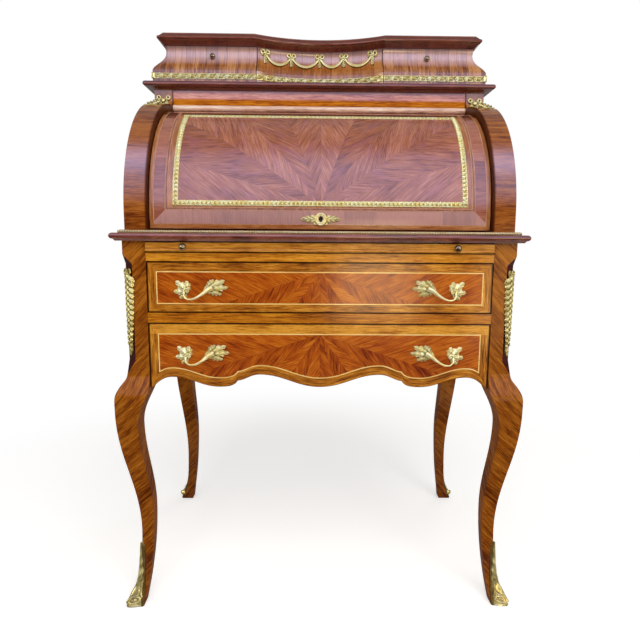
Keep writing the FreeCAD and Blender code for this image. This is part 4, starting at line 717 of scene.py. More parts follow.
# %% Follow the scalloped edge in a material
CURVE_WIDTH = 400
CURVE_RISE = 100
STRING_ABOVE_EDGE = 17.5


def scalloped_foot(recipe, side, edge_curve):
    lowest = min(height for place, height in edge_curve)
    points = [(place / CURVE_WIDTH, (height - lowest) / CURVE_RISE) for place, height in edge_curve]
    sockets = {"Factor": 1.0, "Value": side / CURVE_WIDTH}
    curve = recipe.node("ShaderNodeFloatCurve", {"points": points}, sockets)
    return curve * CURVE_RISE + (lowest + STRING_ABOVE_EDGE)


print("the border lies", STRING_ABOVE_EDGE, "mm above the scalloped edge")

# %% Veneer the drawer fronts
FIELD_HALF = 303.0
UPPER_FIELD_TOP = 663.9
UPPER_FIELD_FOOT = 604.8
LOWER_FIELD_TOP = 547.5
UPPER_LEAN = math.radians(34)
LOWER_LEAN = math.radians(26)
DRAWER_HALF = max(corner[0] for corner in nodes["upper_drawer_front"].bound_box) / MM
FIELD_TONES = (paint(100, 26, 2), paint(168, 74, 6), paint(204, 114, 22))
BORDER_TONES = (paint(92, 40, 4), paint(174, 102, 20), paint(222, 154, 50))
EDGE_TONES = (paint(70, 32, 14), paint(96, 48, 22), paint(116, 64, 32))


def drawer_front(name, sheet, field_top, field_foot, lean, field_lift=0.0, top_border_highlight=0.0,
                 edge_curve=None):
    material, recipe = new_finish(name)
    x, y, z = recipe.place()
    side = abs(x)
    along, across, leaf, way, joint = fan(recipe, side, field_top - z, lean, -1.0)
    shift = way * -0.05 + (recipe.chance(leaf + sheet) - 0.5) * 0.12 + field_lift
    field_sheet = leaf + sheet + (x > 0) * 9
    field, streak, pore = veneer(recipe, along, across, field_sheet, FIELD_TONES, shift=shift)
    field = recipe.mix(joint * 0.4, field, paint(72, 22, 6))
    foot = scalloped_foot(recipe, side, edge_curve) if edge_curve else field_foot
    over_top = z - field_top
    under_foot = foot - z
    past_end = side - FIELD_HALF
    upright = (past_end > over_top) * (past_end > under_foot)
    level = z - foot * (z < field_top - 20) if edge_curve else z
    border_along = recipe.choose(upright, x, z)
    border_across = recipe.choose(upright, level, x)
    # The top border is painted lighter: a painted highlight along it
    top_border_highlight_shift = (over_top > 0) * top_border_highlight
    border = veneer(recipe, border_along, border_across, upright * 3 + sheet + 11, BORDER_TONES,
                    contrast=1.1, shift=top_border_highlight_shift)[0]
    in_border = ((past_end > 0) + (over_top > 0) + (under_foot > 0)) > 0.5
    colour = recipe.mix(in_border, field, border)
    edge = veneer(recipe, x + z, y, sheet + 50, EDGE_TONES)[0]
    colour = recipe.mix(y > FRONT_FACE + 0.4, colour, edge)
    # Ends and edges of the front painted dark: painted shade of the gaps round the drawer
    end_gap_shade = recipe.ease(side, DRAWER_HALF - 2.6, DRAWER_HALF - 0.6)
    colour = recipe.mix(end_gap_shade * 0.9, colour, EDGE_SHADE)
    colour = mark_edges(recipe, colour, EDGE_SHADE, share=0.94, reach=0.0028)
    return polish(recipe, material, colour, streak, pore)


upper_veneer = drawer_front("upper_drawer_veneer", 60, UPPER_FIELD_TOP, UPPER_FIELD_FOOT, UPPER_LEAN,
                            field_lift=0.07)
lower_veneer = drawer_front("lower_drawer_veneer", 75, LOWER_FIELD_TOP, None, LOWER_LEAN, top_border_highlight=0.26,
                            edge_curve=APRON_EDGE)
dress(upper_veneer, "upper_drawer_front")
dress(lower_veneer, "lower_drawer_front")

# %% [markdown]
# ## The quadrant sides
# The curved rim of each quadrant is faced with strips whose grain runs across it. A cool sheen is
# painted low on the round, the top of the round is painted lighter as painted light, and a dark band
# painted along the inner edge is the painted shade of the gap to the fall. The flat outside shows a
# slanting field inside a crossband that follows the rim, as the side of such a desk usually does.

# %% Lay out the quadrants
QUADRANT_RADIUS = 238.0
SIDE_BAND = 30.0
RIM_PIECE = 48.0
QUADRANT_TONES = (paint(88, 34, 4), paint(148, 78, 18), paint(180, 110, 40))
quadrant_kingwood, recipe = new_finish("quadrant_kingwood")
x, y, z = recipe.place()
on_side = recipe.facing()[0] > 0.6
turn, reach = round_the_roll(recipe, y, z)
in_front = y < ROLL_Y
arc = recipe.choose(in_front, y, turn * QUADRANT_RADIUS)
in_rim_band = in_front * (reach > QUADRANT_RADIUS - SIDE_BAND) * (z > ROLL_Z)
field_along = recipe.choose(in_rim_band, (y + z) * DIAGONAL, reach)
field_across = recipe.choose(in_rim_band, (z - y) * DIAGONAL, turn * QUADRANT_RADIUS)
along = recipe.choose(on_side, x, field_along)
across = recipe.choose(on_side, arc, field_across)
piece = math.floor(across / RIM_PIECE)
shift = (recipe.chance(piece) - 0.5) * 0.24
colour, streak, pore = veneer(recipe, along, across, piece + on_side * 40, QUADRANT_TONES, shift=shift,
                              figure_width=6.0)
print("rim strips", RIM_PIECE, "mm long")

# %% Painted sheen, light and gap shade, and polish of the quadrants
QUADRANT_INSIDE = 320.5
SHEEN_SPOT_ANGLE = 0.42
CROWN_LIGHT_ANGLES = (0.95, 1.25)
# A cool painted sheen low on the round
painted_sheen_spot = 1 - recipe.ease(abs(turn - SHEEN_SPOT_ANGLE), 0.02, 0.17)
colour = recipe.mix(painted_sheen_spot * (1 - on_side) * 0.34, colour, paint(196, 166, 198))
# The top of the round is painted lighter: painted light on the crown
crown_light = recipe.ease(turn, *CROWN_LIGHT_ANGLES) * (1 - on_side)
colour = recipe.mix(crown_light * 0.22, colour, paint(206, 150, 84))
# A dark band painted along the inner edge: painted shade of the gap to the fall
gap_shade = 1 - recipe.ease(abs(x), QUADRANT_INSIDE + 0.5, QUADRANT_INSIDE + 4)
colour = recipe.mix(gap_shade * 0.75, colour, paint(62, 20, 8))
coat = (0.15 + recipe.ease(turn, 0.02, 0.26) * 0.8) * (1 - gap_shade * 0.8)
polish(recipe, quadrant_kingwood, colour, streak, pore, coat)
dress(quadrant_kingwood, "quadrant_left", "quadrant_right")

# %% [markdown]
# ## The case sides
# Each side of the base carries two slanting leaves that meet in a point at the middle, inside a border
# with straight grain. The mirror is one absolute value: the distance from the middle of the side.

# %% Veneer the case sides
SIDE_HALF = 168.0
SIDE_FOOT = 480.0
SIDE_TOP = 698.0
SIDE_TONES = (paint(104, 46, 12), paint(150, 80, 26), paint(180, 110, 44))
side_kingwood, recipe = new_finish("side_kingwood")
y, z = recipe.place()[1:]
spread = abs(y)
border = ((spread > SIDE_HALF) + (z < SIDE_FOOT) + (z > SIDE_TOP)) > 0.5
upright = (spread - SIDE_HALF) > recipe.reckon("MAXIMUM", SIDE_FOOT - z, z - SIDE_TOP)
along = recipe.choose(border, (z + spread) * DIAGONAL, recipe.choose(upright, y, z))
across = recipe.choose(border, (z - spread) * DIAGONAL, recipe.choose(upright, z, y))
sheet = border * 5 + (y > 0) * 3 + 90
colour, streak, pore = veneer(recipe, along, across, sheet, SIDE_TONES, contrast=0.9,
                              shift=border * 0.1)
polish(recipe, side_kingwood, colour, streak, pore)
dress(side_kingwood, "case_side_left", "case_side_right")

# %% [markdown]
# ## The gallery
# The hollow fronts of the gallery are laid with narrow upright strips, because only short cross pieces
# will bend into a hollow. Each strip has its own tone, and the centre panel is stained more golden.
# Above the foot of the hollow a cool rose sheen is painted over the strips, a little higher up on the
# centre panel. Under the top board a painted shadow darkens them. The drawer boxes behind the fronts
# are oak.

# %% Lay the gallery strips
STRIP_WIDTH = 23.0
WANDER_LENGTH = 60
WANDER = 1.6
HOLLOW_LINE = 1097.0
SEAM = 139.0
UNDER_TOP = 1131.0
DRAWER_BACK_LINE = 42.8
GALLERY_TONES = (paint(98, 44, 14), paint(158, 94, 42), paint(196, 136, 78))
OAK_TONES = (paint(112, 74, 42), paint(148, 104, 62), paint(176, 134, 88))


def gallery_strips(name, boxes_behind):
    material, recipe = new_finish(name)
    x, y, z = recipe.place()
    across = recipe.choose(recipe.facing()[0] > 0.6, x, y)
    wander = recipe.noise(recipe.vector(across / WANDER_LENGTH, 3.0, 5.0))
    lane = across / STRIP_WIDTH + wander * WANDER
    strip = math.floor(lane)
    shift = (recipe.chance(strip) - 0.5) * 0.46
    colour, streak, pore = veneer(recipe, z, across, strip, GALLERY_TONES, contrast=1.5, shift=shift,
                                  figure_width=6.0)
    centre = abs(x) < SEAM
    colour = recipe.mix(centre * 0.4, colour, paint(172, 98, 24))
    # A cool rose painted sheen above the foot of the hollow
    painted_rose_sheen = recipe.ease(z - centre * 12, HOLLOW_LINE, HOLLOW_LINE + 18)
    colour = recipe.mix(painted_rose_sheen * 0.45, colour, paint(222, 190, 200))
    joint = recipe.ease(abs(lane % 1 - 0.5), 0.46, 0.5)
    colour = recipe.mix(joint * 0.5, colour, paint(70, 34, 24))
    # Painted shadow under the top board
    top_board_shadow = recipe.ease(z, UNDER_TOP, UNDER_TOP + 12)
    colour = recipe.mix(top_board_shadow * 0.55, colour, paint(74, 32, 26))
    # painted shade along the edges and seams of the gallery pieces
    colour = mark_edges(recipe, colour, EDGE_SHADE, share=0.85, reach=0.002)
    if boxes_behind:
        oak_colour = veneer(recipe, y, x + z, 3, OAK_TONES)[0]
        colour = recipe.mix(y > DRAWER_BACK_LINE, colour, oak_colour)
    return polish(recipe, material, colour, streak, pore, coat=1.0)


dress(gallery_strips("gallery_veneer", False), "gallery_centre", "gallery_side_left", "gallery_side_right")
dress(gallery_strips("gallery_drawer_veneer", True), "gallery_drawer_left", "gallery_drawer_right")

# %% [markdown]
# ## Mahogany mouldings and oak insides
# The run mouldings, the nest and the slide are solid mahogany, darker and redder than the veneers. The
# grain follows each moulding, so on faces that look sideways it turns to run front to back. The parts
# no one sees are plain oak, waxed and not polished.

# %% Mahogany
# Pale edges on the mouldings: partly rubbed wear, partly a painted highlight along the arrises
EDGE_RUBBED_HIGHLIGHT = paint(196, 132, 104)
MAHOGANY_TONES = (paint(58, 16, 9), paint(98, 38, 22), paint(128, 60, 38))
LEDGE_TONES = (paint(74, 24, 13), paint(126, 60, 40), paint(160, 92, 66))
NEST_TONES = (paint(84, 36, 18), paint(122, 62, 34), paint(150, 86, 50))


def solid_wood(name, tones, sheet, contrast, rubbed=0.0, **polish_settings):
    material, recipe = new_finish(name)
    x, y, z = recipe.place()
    sideways = recipe.facing()[0] > 0.6
    along = recipe.choose(sideways, x, y)
    across = recipe.choose(sideways, y + z, x + z)
    colour, streak, pore = veneer(recipe, along, across, sideways + sheet, tones, contrast,
                                  figure_width=18.0)
    # pale edges: rubbed wear and a painted highlight
    if rubbed:
        colour = mark_edges(recipe, colour, EDGE_RUBBED_HIGHLIGHT, share=rubbed, reach=0.0012)
    return polish(recipe, material, colour, streak, pore, **polish_settings)


mahogany = solid_wood("mahogany_moulding", MAHOGANY_TONES, sheet=100, contrast=0.7, rubbed=0.6, coat=0.9)
ledge_mahogany = solid_wood("desk_top_mahogany", LEDGE_TONES, sheet=104, contrast=0.8, rubbed=0.5, coat=1.0)
nest_mahogany = solid_wood("nest_mahogany", NEST_TONES, sheet=110, contrast=1.0, coat=0.3)
dress(mahogany, "cornice", "gallery_top")
dress(ledge_mahogany, "desk_top")
dress(nest_mahogany, "nest", "nest_drawer_left", "nest_drawer_right", "writing_slide")

# %% Oak
BOARD = 118.0
WAXED = {"coat": 0.05, "roughness": 0.65}
oak = solid_wood("waxed_oak", OAK_TONES, sheet=120, contrast=0.6, **WAXED)
dress(oak, "gallery_dividers", "drawer_runners", "slide_bearers",
      "upper_drawer_box", "upper_drawer_bottom", "lower_drawer_box", "lower_drawer_bottom")
back_oak, recipe = new_finish("back_boards_oak")
x, y, z = recipe.place()
board = math.floor(z / BOARD)
shift = (recipe.chance(board) - 0.5) * 0.3
colour, streak, pore = veneer(recipe, x, z, board, OAK_TONES, contrast=0.9, shift=shift, figure_width=16.0)
gap = recipe.ease(abs((z / BOARD) % 1 - 0.5), 0.488, 0.5)
colour = recipe.mix(gap * 0.8, colour, paint(40, 24, 14))
polish(recipe, back_oak, colour, streak, pore, **WAXED)
dress(back_oak, "case_back", "upper_back", "gallery_back")

# %% [markdown]
# ## Leather
# The writing surfaces are skiver, a thin split sheepskin, dyed dark brown and glazed. Small rounded
# cells make its pebbled grain, noise adds the creases, and use has rubbed it paler and smoother in
# patches. All of that is bump and colour, because the grain is far too fine to model.

# %% Tan the leather
CREASE_SIZE = 3
RUBBED_SIZE = 110
tooled_leather, recipe = new_finish("tooled_leather")
x, y, z = recipe.place()
spot = recipe.vector(x, y, z)
pebble = recipe.node("ShaderNodeTexVoronoi", {"feature": "SMOOTH_F1"}, {"Vector": spot, "Scale": 0.75})
crease = recipe.noise(recipe.vector(x / CREASE_SIZE, y / CREASE_SIZE, z / CREASE_SIZE), detail=4.0)
patches = recipe.noise(recipe.vector(x / RUBBED_SIZE, y / RUBBED_SIZE, 2.0), detail=3.0)
rubbed = recipe.ease(patches, 0.42, 0.68)
colour = recipe.mix(crease, paint(74, 38, 24), paint(112, 62, 40))
colour = recipe.mix(rubbed * 0.5, colour, paint(138, 86, 58))
bump = recipe.node("ShaderNodeBump", None, {"Strength": 0.4, "Distance": 0.0003,
                                           "Height": pebble * 0.7 + crease * 0.5})
shader = recipe.node("ShaderNodeBsdfPrincipled", None, {
    "Base Color": colour, "Roughness": 0.56 - rubbed * 0.16, "Normal": bump, "Specular IOR Level": 0.4})
recipe.node("ShaderNodeOutputMaterial", None, {"Surface": shader})
dress(tooled_leather, "writing_leather", "slide_leather")
print("leather laid")

# %% [markdown]
# ## Gilt bronze, brass and iron
# A mount is cast in bronze, chased, gilded and burnished on its high parts. Dirt and wear gather in the
# hollows, so an Ambient Occlusion node picks those out and darkens and roughens them. The gilding has
# not aged evenly, so the pulls, the strips, the chutes and the shoes each have their own. The cast shell
# of the shoes is painted dark, a painted shade beside the brighter chasing laid over it. The knobs are
# plain brass that has gone brown, and the ironwork inside is blackened.

# %% Metals
MOTTLE_SIZE = 14
PITTING_SIZE = 1.1
HOLLOW_REACH = 0.006
CAST_ARRIS = 0.0004


def metal(name, bright, dull, hollow, roughness, mottling=0.1, metallic=0.48, depth=0.9):
    material, recipe = new_finish(name)
    x, y, z = recipe.place()
    cloud_place = recipe.vector(x / MOTTLE_SIZE, y / MOTTLE_SIZE, z / MOTTLE_SIZE)
    cloud = recipe.noise(cloud_place, detail=4.0, roughness=0.6)
    fine = recipe.noise(recipe.vector(x / PITTING_SIZE, y / PITTING_SIZE, z / PITTING_SIZE))
    shelter = recipe.node("ShaderNodeAmbientOcclusion", {"samples": 6}, {"Distance": HOLLOW_REACH},
                          out="AO")
    sunk = 1 - recipe.ease(shelter, 0.34, 0.86)
    colour = recipe.mix(recipe.ease(cloud, 0.36, 0.66), bright, dull)
    colour = recipe.mix(sunk * depth, colour, hollow)
    edge = recipe.node("ShaderNodeBevel", {"samples": 3}, {"Radius": CAST_ARRIS})
    bump = recipe.node("ShaderNodeBump", None, {"Strength": 0.25, "Distance": 0.0002,
                                               "Height": fine * 0.6 + cloud, "Normal": edge})
    shader = recipe.node("ShaderNodeBsdfPrincipled", None, {
        "Base Color": colour, "Metallic": metallic, "Normal": bump, "Specular IOR Level": 0.4,
        "Roughness": roughness + (cloud - 0.5) * mottling + sunk * 0.25})
    recipe.node("ShaderNodeOutputMaterial", None, {"Surface": shader})
    return material


print("metal ready")

# %% Lay the metals on the plain mounts
gilt_bronze = metal("gilt_bronze", paint(255, 248, 190), paint(244, 224, 142), paint(60, 38, 8),
                    roughness=0.22, mottling=0.2, depth=0.76)
strip_gilt = metal("strip_gilt", paint(255, 246, 184), paint(240, 220, 138), paint(52, 32, 8),
                   roughness=0.22, mottling=0.2)
old_gilt = metal("old_gilt", paint(232, 214, 134), paint(184, 162, 88), paint(44, 30, 8),
                 roughness=0.24, mottling=0.2, metallic=0.6)
# The cast shell of the shoes is painted dark: painted shade beside the brighter chasing
shaded_shoe_bronze = metal("shaded_shoe_bronze", paint(120, 98, 50), paint(88, 68, 30), paint(30, 20, 8),
                    roughness=0.36, mottling=0.2)
shoe_gilt = metal("shoe_gilt", paint(240, 224, 156), paint(166, 148, 88), paint(30, 22, 8),
                  roughness=0.2, mottling=0.15, metallic=0.66)
dark_brass = metal("dark_brass", paint(190, 172, 136), paint(112, 92, 62), paint(36, 26, 16),
                   roughness=0.16, metallic=0.95)
black_iron = metal("black_iron", paint(74, 70, 66), paint(52, 48, 45), paint(22, 20, 18), roughness=0.45)
dress(gilt_bronze, "desk_top_beading", "gallery_strip", "upper_drawer_pulls", "lower_drawer_pulls",
      "cylinder_frame", "cylinder_escutcheon", "gallery_drawer_left_strip", "gallery_drawer_right_strip")
dress(old_gilt, "festoon", "bow_mounts", "corner_chutes")
dress(shaded_shoe_bronze, "front_sabots", "rear_sabots")
dress(dark_brass, "slide_knobs", "gallery_drawer_left_knob", "gallery_drawer_right_knob", "lock_strike")
dress(black_iron, "cylinder_lock", "cylinder_lock_bolt", "cylinder_arms", "pivot_pins")

# %% [markdown]
# ## How a new piece is set down
# A piece that the frame lacks is gathered as rows of points in millimetres, with faces between the
# rows. It then becomes a mesh whose doubled points are merged, gets its finish, and rides on the body
# that carries it.

# %% Gather a casting and set it down
MERGE_REACH = 0.000005
SHARP_TURN = math.radians(55)


class Casting:
    """Gathers the points and faces of one piece, in millimetres."""

    def __init__(self):
        self.points = []
        self.faces = []

    def rows(self, rows, closed=False):
        start = len(self.points)
        width = len(rows[0])
        for row in rows:
            self.points += row
        last = width if closed else width - 1
        for i in range(len(rows) - 1):
            for j in range(last):
                k = (j + 1) % width
                corner = start + i * width
                self.faces.append((corner + j, corner + k, corner + width + k, corner + width + j))


def set_piece(name, casting, material, body, replaced=()):
    mesh = bpy.data.meshes.new(name)
    mesh.from_pydata([Vector(point) * MM for point in casting.points], [], casting.faces)
    build = bmesh.new()
    build.from_mesh(mesh)
    bmesh.ops.remove_doubles(build, verts=build.verts, dist=MERGE_REACH)
    bmesh.ops.recalc_face_normals(build, faces=build.faces)
    build.to_mesh(mesh)
    build.free()
    mesh.shade_smooth()
    mesh.set_sharp_from_angle(angle=SHARP_TURN)
    mesh.materials.append(material)
    piece = bpy.data.objects.new(name, mesh)
    bpy.context.scene.collection.objects.link(piece)
    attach(piece, body)
    if replaced:
        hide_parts(*replaced)
    print(name, len(mesh.polygons), "faces on", body)


print("castings can be set down")

# %% [markdown]
# ## Stringing
# Stringing is a thread of pale boxwood let into a scratched groove. It could be painted into the
# veneer's nodes, but a real thread is a hair proud of the polish and catches the light, so each line is
# a thin ribbon laid on the surface, mitred where it turns. The lines on the cylinder are a dark thread
# between two faded ones.

# %% Lay a ribbon
STRING_PROUD = 0.14
STRING_SUNK = 0.3
MITRE_LIMIT = 0.3


def ribbon(casting, place, path, width, loop=False):
    rows = []
    count = len(path)
    for i, (u, v) in enumerate(path):
        before = path[i - 1] if i or loop else path[i]
        after = path[(i + 1) % count] if i + 1 < count or loop else path[i]
        first = Vector((u - before[0], v - before[1])).normalized() if before != path[i] else None
        second = Vector((after[0] - u, after[1] - v)).normalized() if after != path[i] else None
        first = first or second
        second = second or first
        middle = (first + second).normalized()
        side = Vector((-middle.y, middle.x)) * (width / 2 / max(middle.dot(first), MITRE_LIMIT))
        left = (u + side.x, v + side.y)
        right = (u - side.x, v - side.y)
        rows.append([place(*left, -STRING_SUNK), place(*left, STRING_PROUD), place(*right, STRING_PROUD),
                     place(*right, -STRING_SUNK)])
    if loop:
        rows.append(rows[0])
    casting.rows(rows)


def on_front(middle_x, middle_z, face_y, way=1):
    def place(u, v, h):
        return (middle_x + way * u, face_y - h, middle_z + v)
    return place


def on_fall(u, v, h):
    turn = v / FALL_RADIUS
    reach = FALL_RADIUS + h
    return (u, ROLL_Y - reach * math.cos(turn), ROLL_Z + reach * math.sin(turn))


print("a string stands", STRING_PROUD, "mm proud")

# %% Woods of the strings
STRING_ARRIS = 0.0002
BOXWOOD_TONES = (paint(220, 176, 92), paint(244, 206, 122), paint(252, 226, 156))
ROSEWOOD_TONES = (paint(104, 66, 56), paint(150, 100, 88), paint(176, 126, 110))
FADED_TONES = (paint(160, 104, 78), paint(190, 136, 104), paint(210, 160, 128))


def string_wood(name, sheet, tones, upright):
    material, recipe = new_finish(name)
    x, y, z = recipe.place()
    along, across = (z + y, x) if upright else (x + y, z)
    colour, streak, pore = veneer(recipe, along, across, sheet, tones)
    return polish(recipe, material, colour, streak, pore, arris=STRING_ARRIS)


boxwood = string_wood("boxwood_string", 140, BOXWOOD_TONES, upright=False)
rosewood = string_wood("dark_string", 150, ROSEWOOD_TONES, upright=True)
holly = string_wood("faded_string", 155, FADED_TONES, upright=True)
print("strings of", boxwood.name, rosewood.name, holly.name)

# %% String the drawers
STRING_WIDTH = 2.0
END_DROP = 1.2
flat_front = on_front(0, 0, FRONT_FACE)
upper_path = [(-FIELD_HALF, UPPER_FIELD_FOOT), (-FIELD_HALF, UPPER_FIELD_TOP),
              (FIELD_HALF, UPPER_FIELD_TOP), (FIELD_HALF, UPPER_FIELD_FOOT)]
line = Casting()
ribbon(line, flat_front, upper_path, STRING_WIDTH, loop=True)
set_piece("upper_drawer_string", line, boxwood, "upper_drawer")

scallop = [(place, height + STRING_ABOVE_EDGE) for place, height in APRON_EDGE if place < FIELD_HALF]
scallop.append((FIELD_HALF, scallop[-1][1] - END_DROP))
left_scallop = [(-place, height) for place, height in scallop if place > 0]
top_line = [(-FIELD_HALF, LOWER_FIELD_TOP), (FIELD_HALF, LOWER_FIELD_TOP)]
line = Casting()
ribbon(line, flat_front, top_line + scallop[::-1] + left_scallop, STRING_WIDTH, loop=True)
set_piece("lower_drawer_string", line, boxwood, "lower_drawer")

# %% String the cylinder
STRING_HEAD = math.radians(90.5)
CLIMB_STEPS = 40
OUTER_WIDTH = 1.6
FADED_WIDTH = 1.5
CORE_WIDTH = 2.9
FADED_OFFSET = 2.2


def fall_line(half, foot_angle):
    climb = [foot_angle + (STRING_HEAD - foot_angle) * i / CLIMB_STEPS for i in range(CLIMB_STEPS + 1)]
    rise = [(half, angle * FALL_RADIUS) for angle in climb]
    return [(-u, v) for u, v in reversed(rise)] + rise


outer_line = Casting()
ribbon(outer_line, on_fall, fall_line(OUTER_STRING, OUTER_STRING_ANGLE), OUTER_WIDTH)
for offset in (FADED_OFFSET, -FADED_OFFSET):
    path = fall_line(INNER_STRING + offset, INNER_STRING_ANGLE - offset / FALL_RADIUS)
    ribbon(outer_line, on_fall, path, FADED_WIDTH)
set_piece("cylinder_string", outer_line, holly, "cylinder")
core_line = Casting()
ribbon(core_line, on_fall, fall_line(INNER_STRING, INNER_STRING_ANGLE), CORE_WIDTH)
set_piece("cylinder_string_core", core_line, rosewood, "cylinder")

# %% [markdown]
# ## Tools for the bronzes
# The mounts are all made of a few things a chaser would know: a leaf with lobes and a midrib, a stem
# that swells and thins, a pearl, and a scroll. Each is drawn flat, in u, v and height, and a `place`
# function then lays it on whatever carries it: a flat drawer front, the round of the fall, or a hollow
# that a ray finds in the frame.

# %% Chase a leaf
LEAF_SUNK = 0.4


def leaf_half(t, width, lobes, cut):
    swell = max(math.sin(math.pi * t ** 0.72) ** 0.75, 0.22 * (1 - t))
    scallop = 1 - cut * (0.5 + 0.5 * math.cos(2 * math.pi * lobes * t))
    return width / 2 * swell * scallop


def leaf_body(s, t, rise, lobes):
    full = min(1.0, 0.35 + 3.2 * t * (1 - t))
    rib = 0.45 * math.exp(-(s / 0.2) ** 2)
    vein = 0.55 * math.cos(2 * math.pi * lobes * (t - 0.2 * abs(s))) * abs(s)
    return max(0.5 + rise * full * (0.62 * (1 - s * s) + rib - vein), 0.4)


def leaf(casting, place, root, angle, length, width, rise=2.2, lobes=3, cut=0.4, bend=0.0, lift=0.0,
         rows=12, half_columns=4):
    u, v = root
    heading = math.radians(angle)
    rings = []
    for i in range(rows + 1):
        t = i / rows
        half = leaf_half(t, width, lobes, cut)
        low = lift * t * t - LEAF_SUNK
        top = []
        under = []
        for j in range(-half_columns, half_columns + 1):
            s = j / half_columns
            lean = 0.5 * half * abs(s)
            here_u = u - math.sin(heading) * half * s + math.cos(heading) * lean
            here_v = v + math.cos(heading) * half * s + math.sin(heading) * lean
            top.append(place(here_u, here_v, low + leaf_body(s, t, rise, lobes)))
            under.append(place(here_u, here_v, low))
        rings.append(top + under[::-1])
        u += math.cos(heading) * length / rows
        v += math.sin(heading) * length / rows
        heading += math.radians(bend) / rows
    casting.rows(rings, closed=True)


print("leaf ready")

# %% Draw a stem and a pearl
SHORTEST_RUN = 1e-6


def stem(casting, place, path, radius, flat=1.0, sides=8):
    count = len(path)
    rings = []
    for i, (u, v, h) in enumerate(path):
        before = path[max(i - 1, 0)]
        after = path[min(i + 1, count - 1)]
        run = Vector((after[0] - before[0], after[1] - before[1]))
        run = run.normalized() if run.length > SHORTEST_RUN else Vector((1, 0))
        thick = radius(i / (count - 1))
        ring = []
        for k in range(sides):
            turn = 2 * math.pi * k / sides
            out = thick * math.cos(turn)
            ring.append(place(u - run.y * out, v + run.x * out, h + thick * flat * math.sin(turn)))
        rings.append(ring)
    first, last = path[0], path[-1]
    rings.insert(0, [place(*first)] * sides)
    rings.append([place(*last)] * sides)
    casting.rows(rings, closed=True)


def pearl(casting, place, u, v, h, radius, sides=8, levels=5):
    rings = []
    for i in range(levels + 1):
        tilt = math.pi * (i / levels - 0.5)
        ring_radius = radius * math.cos(tilt)
        rings.append([place(u + ring_radius * math.cos(2 * math.pi * k / sides),
                            v + ring_radius * math.sin(2 * math.pi * k / sides),
                            h + radius * math.sin(tilt)) for k in range(sides)])
    casting.rows(rings, closed=True)


def taper(thick, thin, power=1.0):
    def radius(t):
        return thick + (thin - thick) * t ** power
    return radius


def even(thick):
    return taper(thick, thick)


print("stem and pearl ready")

# %% Draw a scroll and a smooth path
def scroll(middle_u, middle_v, wide, narrow, start, turn, height, steps=18):
    path = []
    for i in range(steps + 1):
        t = i / steps
        angle = math.radians(start + turn * t)
        reach = wide + (narrow - wide) * t
        path.append((middle_u + reach * math.cos(angle), middle_v + reach * math.sin(angle), height))
    return path


def smooth_path(knots, steps=6):
    path = []
    for i in range(len(knots) - 1):
        p0 = Vector(knots[max(i - 1, 0)])
        p1 = Vector(knots[i])
        p2 = Vector(knots[i + 1])
        p3 = Vector(knots[min(i + 2, len(knots) - 1)])
        for k in range(steps):
            t = k / steps
            path.append(tuple(0.5 * (2 * p1 + (p2 - p0) * t + (2 * p0 - 5 * p1 + 4 * p2 - p3) * t * t
                                     + (3 * p1 - p0 - 3 * p2 + p3) * t ** 3)))
    path.append(tuple(knots[-1]))
    return path


print("scroll and path ready")

# %% Throw points at the frame
RIGHT = (1, 0, 0)
UP = (0, 0, 1)
BACK = (0, 1, 0)
FORWARD = (0, -1, 0)


def skin(*names):
    corners = []
    faces = []
    for name in names:
        mesh = nodes[name].data
        start = len(corners)
        corners += [v.co / MM for v in mesh.vertices]
        faces += [[start + i for i in polygon.vertices] for polygon in mesh.polygons]
    return BVHTree.FromPolygons(corners, faces)


def on_skin(tree, origin, across, upward, inward, back_off=60.0):
    origin = Vector(origin)
    across = Vector(across)
    upward = Vector(upward)
    inward = Vector(inward).normalized()

    def place(u, v, h):
        start = origin + across * u + upward * v - inward * back_off
        hit = tree.ray_cast(start, inward)[0]
        if hit is None:
            hit = start + inward * back_off
        return tuple(hit - inward * h)
    return place


print("chasing tools ready")

# %% [markdown]
# ## The drawer pulls
# Each pull is a rococo branch: small leaves at the outer end, a thin stem that hangs as a hand grip,
# and large leaves where the stem ends. The four are two mirrored pairs. The stem stands off the front
# on the leaves, with room for the fingers.

# %% Cast the pulls
PULL_X = 232.0
PULL_HEIGHTS = {"upper_drawer": 637.0, "lower_drawer": 514.0}
OUTER_LEAVES = [(-14, -12, 208, 18, 12), (-14, -11, 88, 22, 14), (-14, -11, 170, 26, 15),
                (-13, -13, 128, 33, 17)]
INNER_LEAVES = [(19, -8, -6, 31, 14), (21, -5, 58, 23, 14), (20, -7, 14, 42, 16), (14, -10, 34, 47, 18)]
GRIP = [(-20, -9, 5), (-19.5, -16, 9), (-14, -21.8, 13), (-6, -22.6, 15.5), (2, -20.5, 16),
        (10.5, -15.8, 14), (17, -11, 11), (24, -5.5, 8), (33, -1.5, 5)]
STUDS = [(-17, -8), (24, -5)]
CURL_MIDDLE = (-15.5, -8.5)


def grip_radius(t):
    return 1.5 + 1.3 * abs(2 * t - 0.6) + 2.4 * max(0.0, t - 0.62) / 0.38


def cast_pull(casting, side, height):
    place = on_front(side * PULL_X, height, FRONT_FACE, -side)
    for u, v, angle, length, width in OUTER_LEAVES:
        leaf(casting, place, (u, v), angle, length, width, rise=3.6, cut=0.34, bend=16, lift=2.0,
             rows=24, half_columns=6)
    for u, v, angle, length, width in INNER_LEAVES:
        leaf(casting, place, (u, v), angle, length, width, rise=4.2, lobes=4, cut=0.34, bend=-14, lift=2.5,
             rows=28, half_columns=6)
    stem(casting, place, smooth_path(GRIP), grip_radius, flat=0.9, sides=10)
    curl = scroll(*CURL_MIDDLE, wide=5.2, narrow=1.2, start=200, turn=-430, height=4.2)
    stem(casting, place, curl, taper(2.0, 1.5))
    pearl(casting, place, *CURL_MIDDLE, h=4.4, radius=2.2)
    for u, v in STUDS:
        pearl(casting, place, u, v, h=1.0, radius=4.2, sides=10, levels=6)


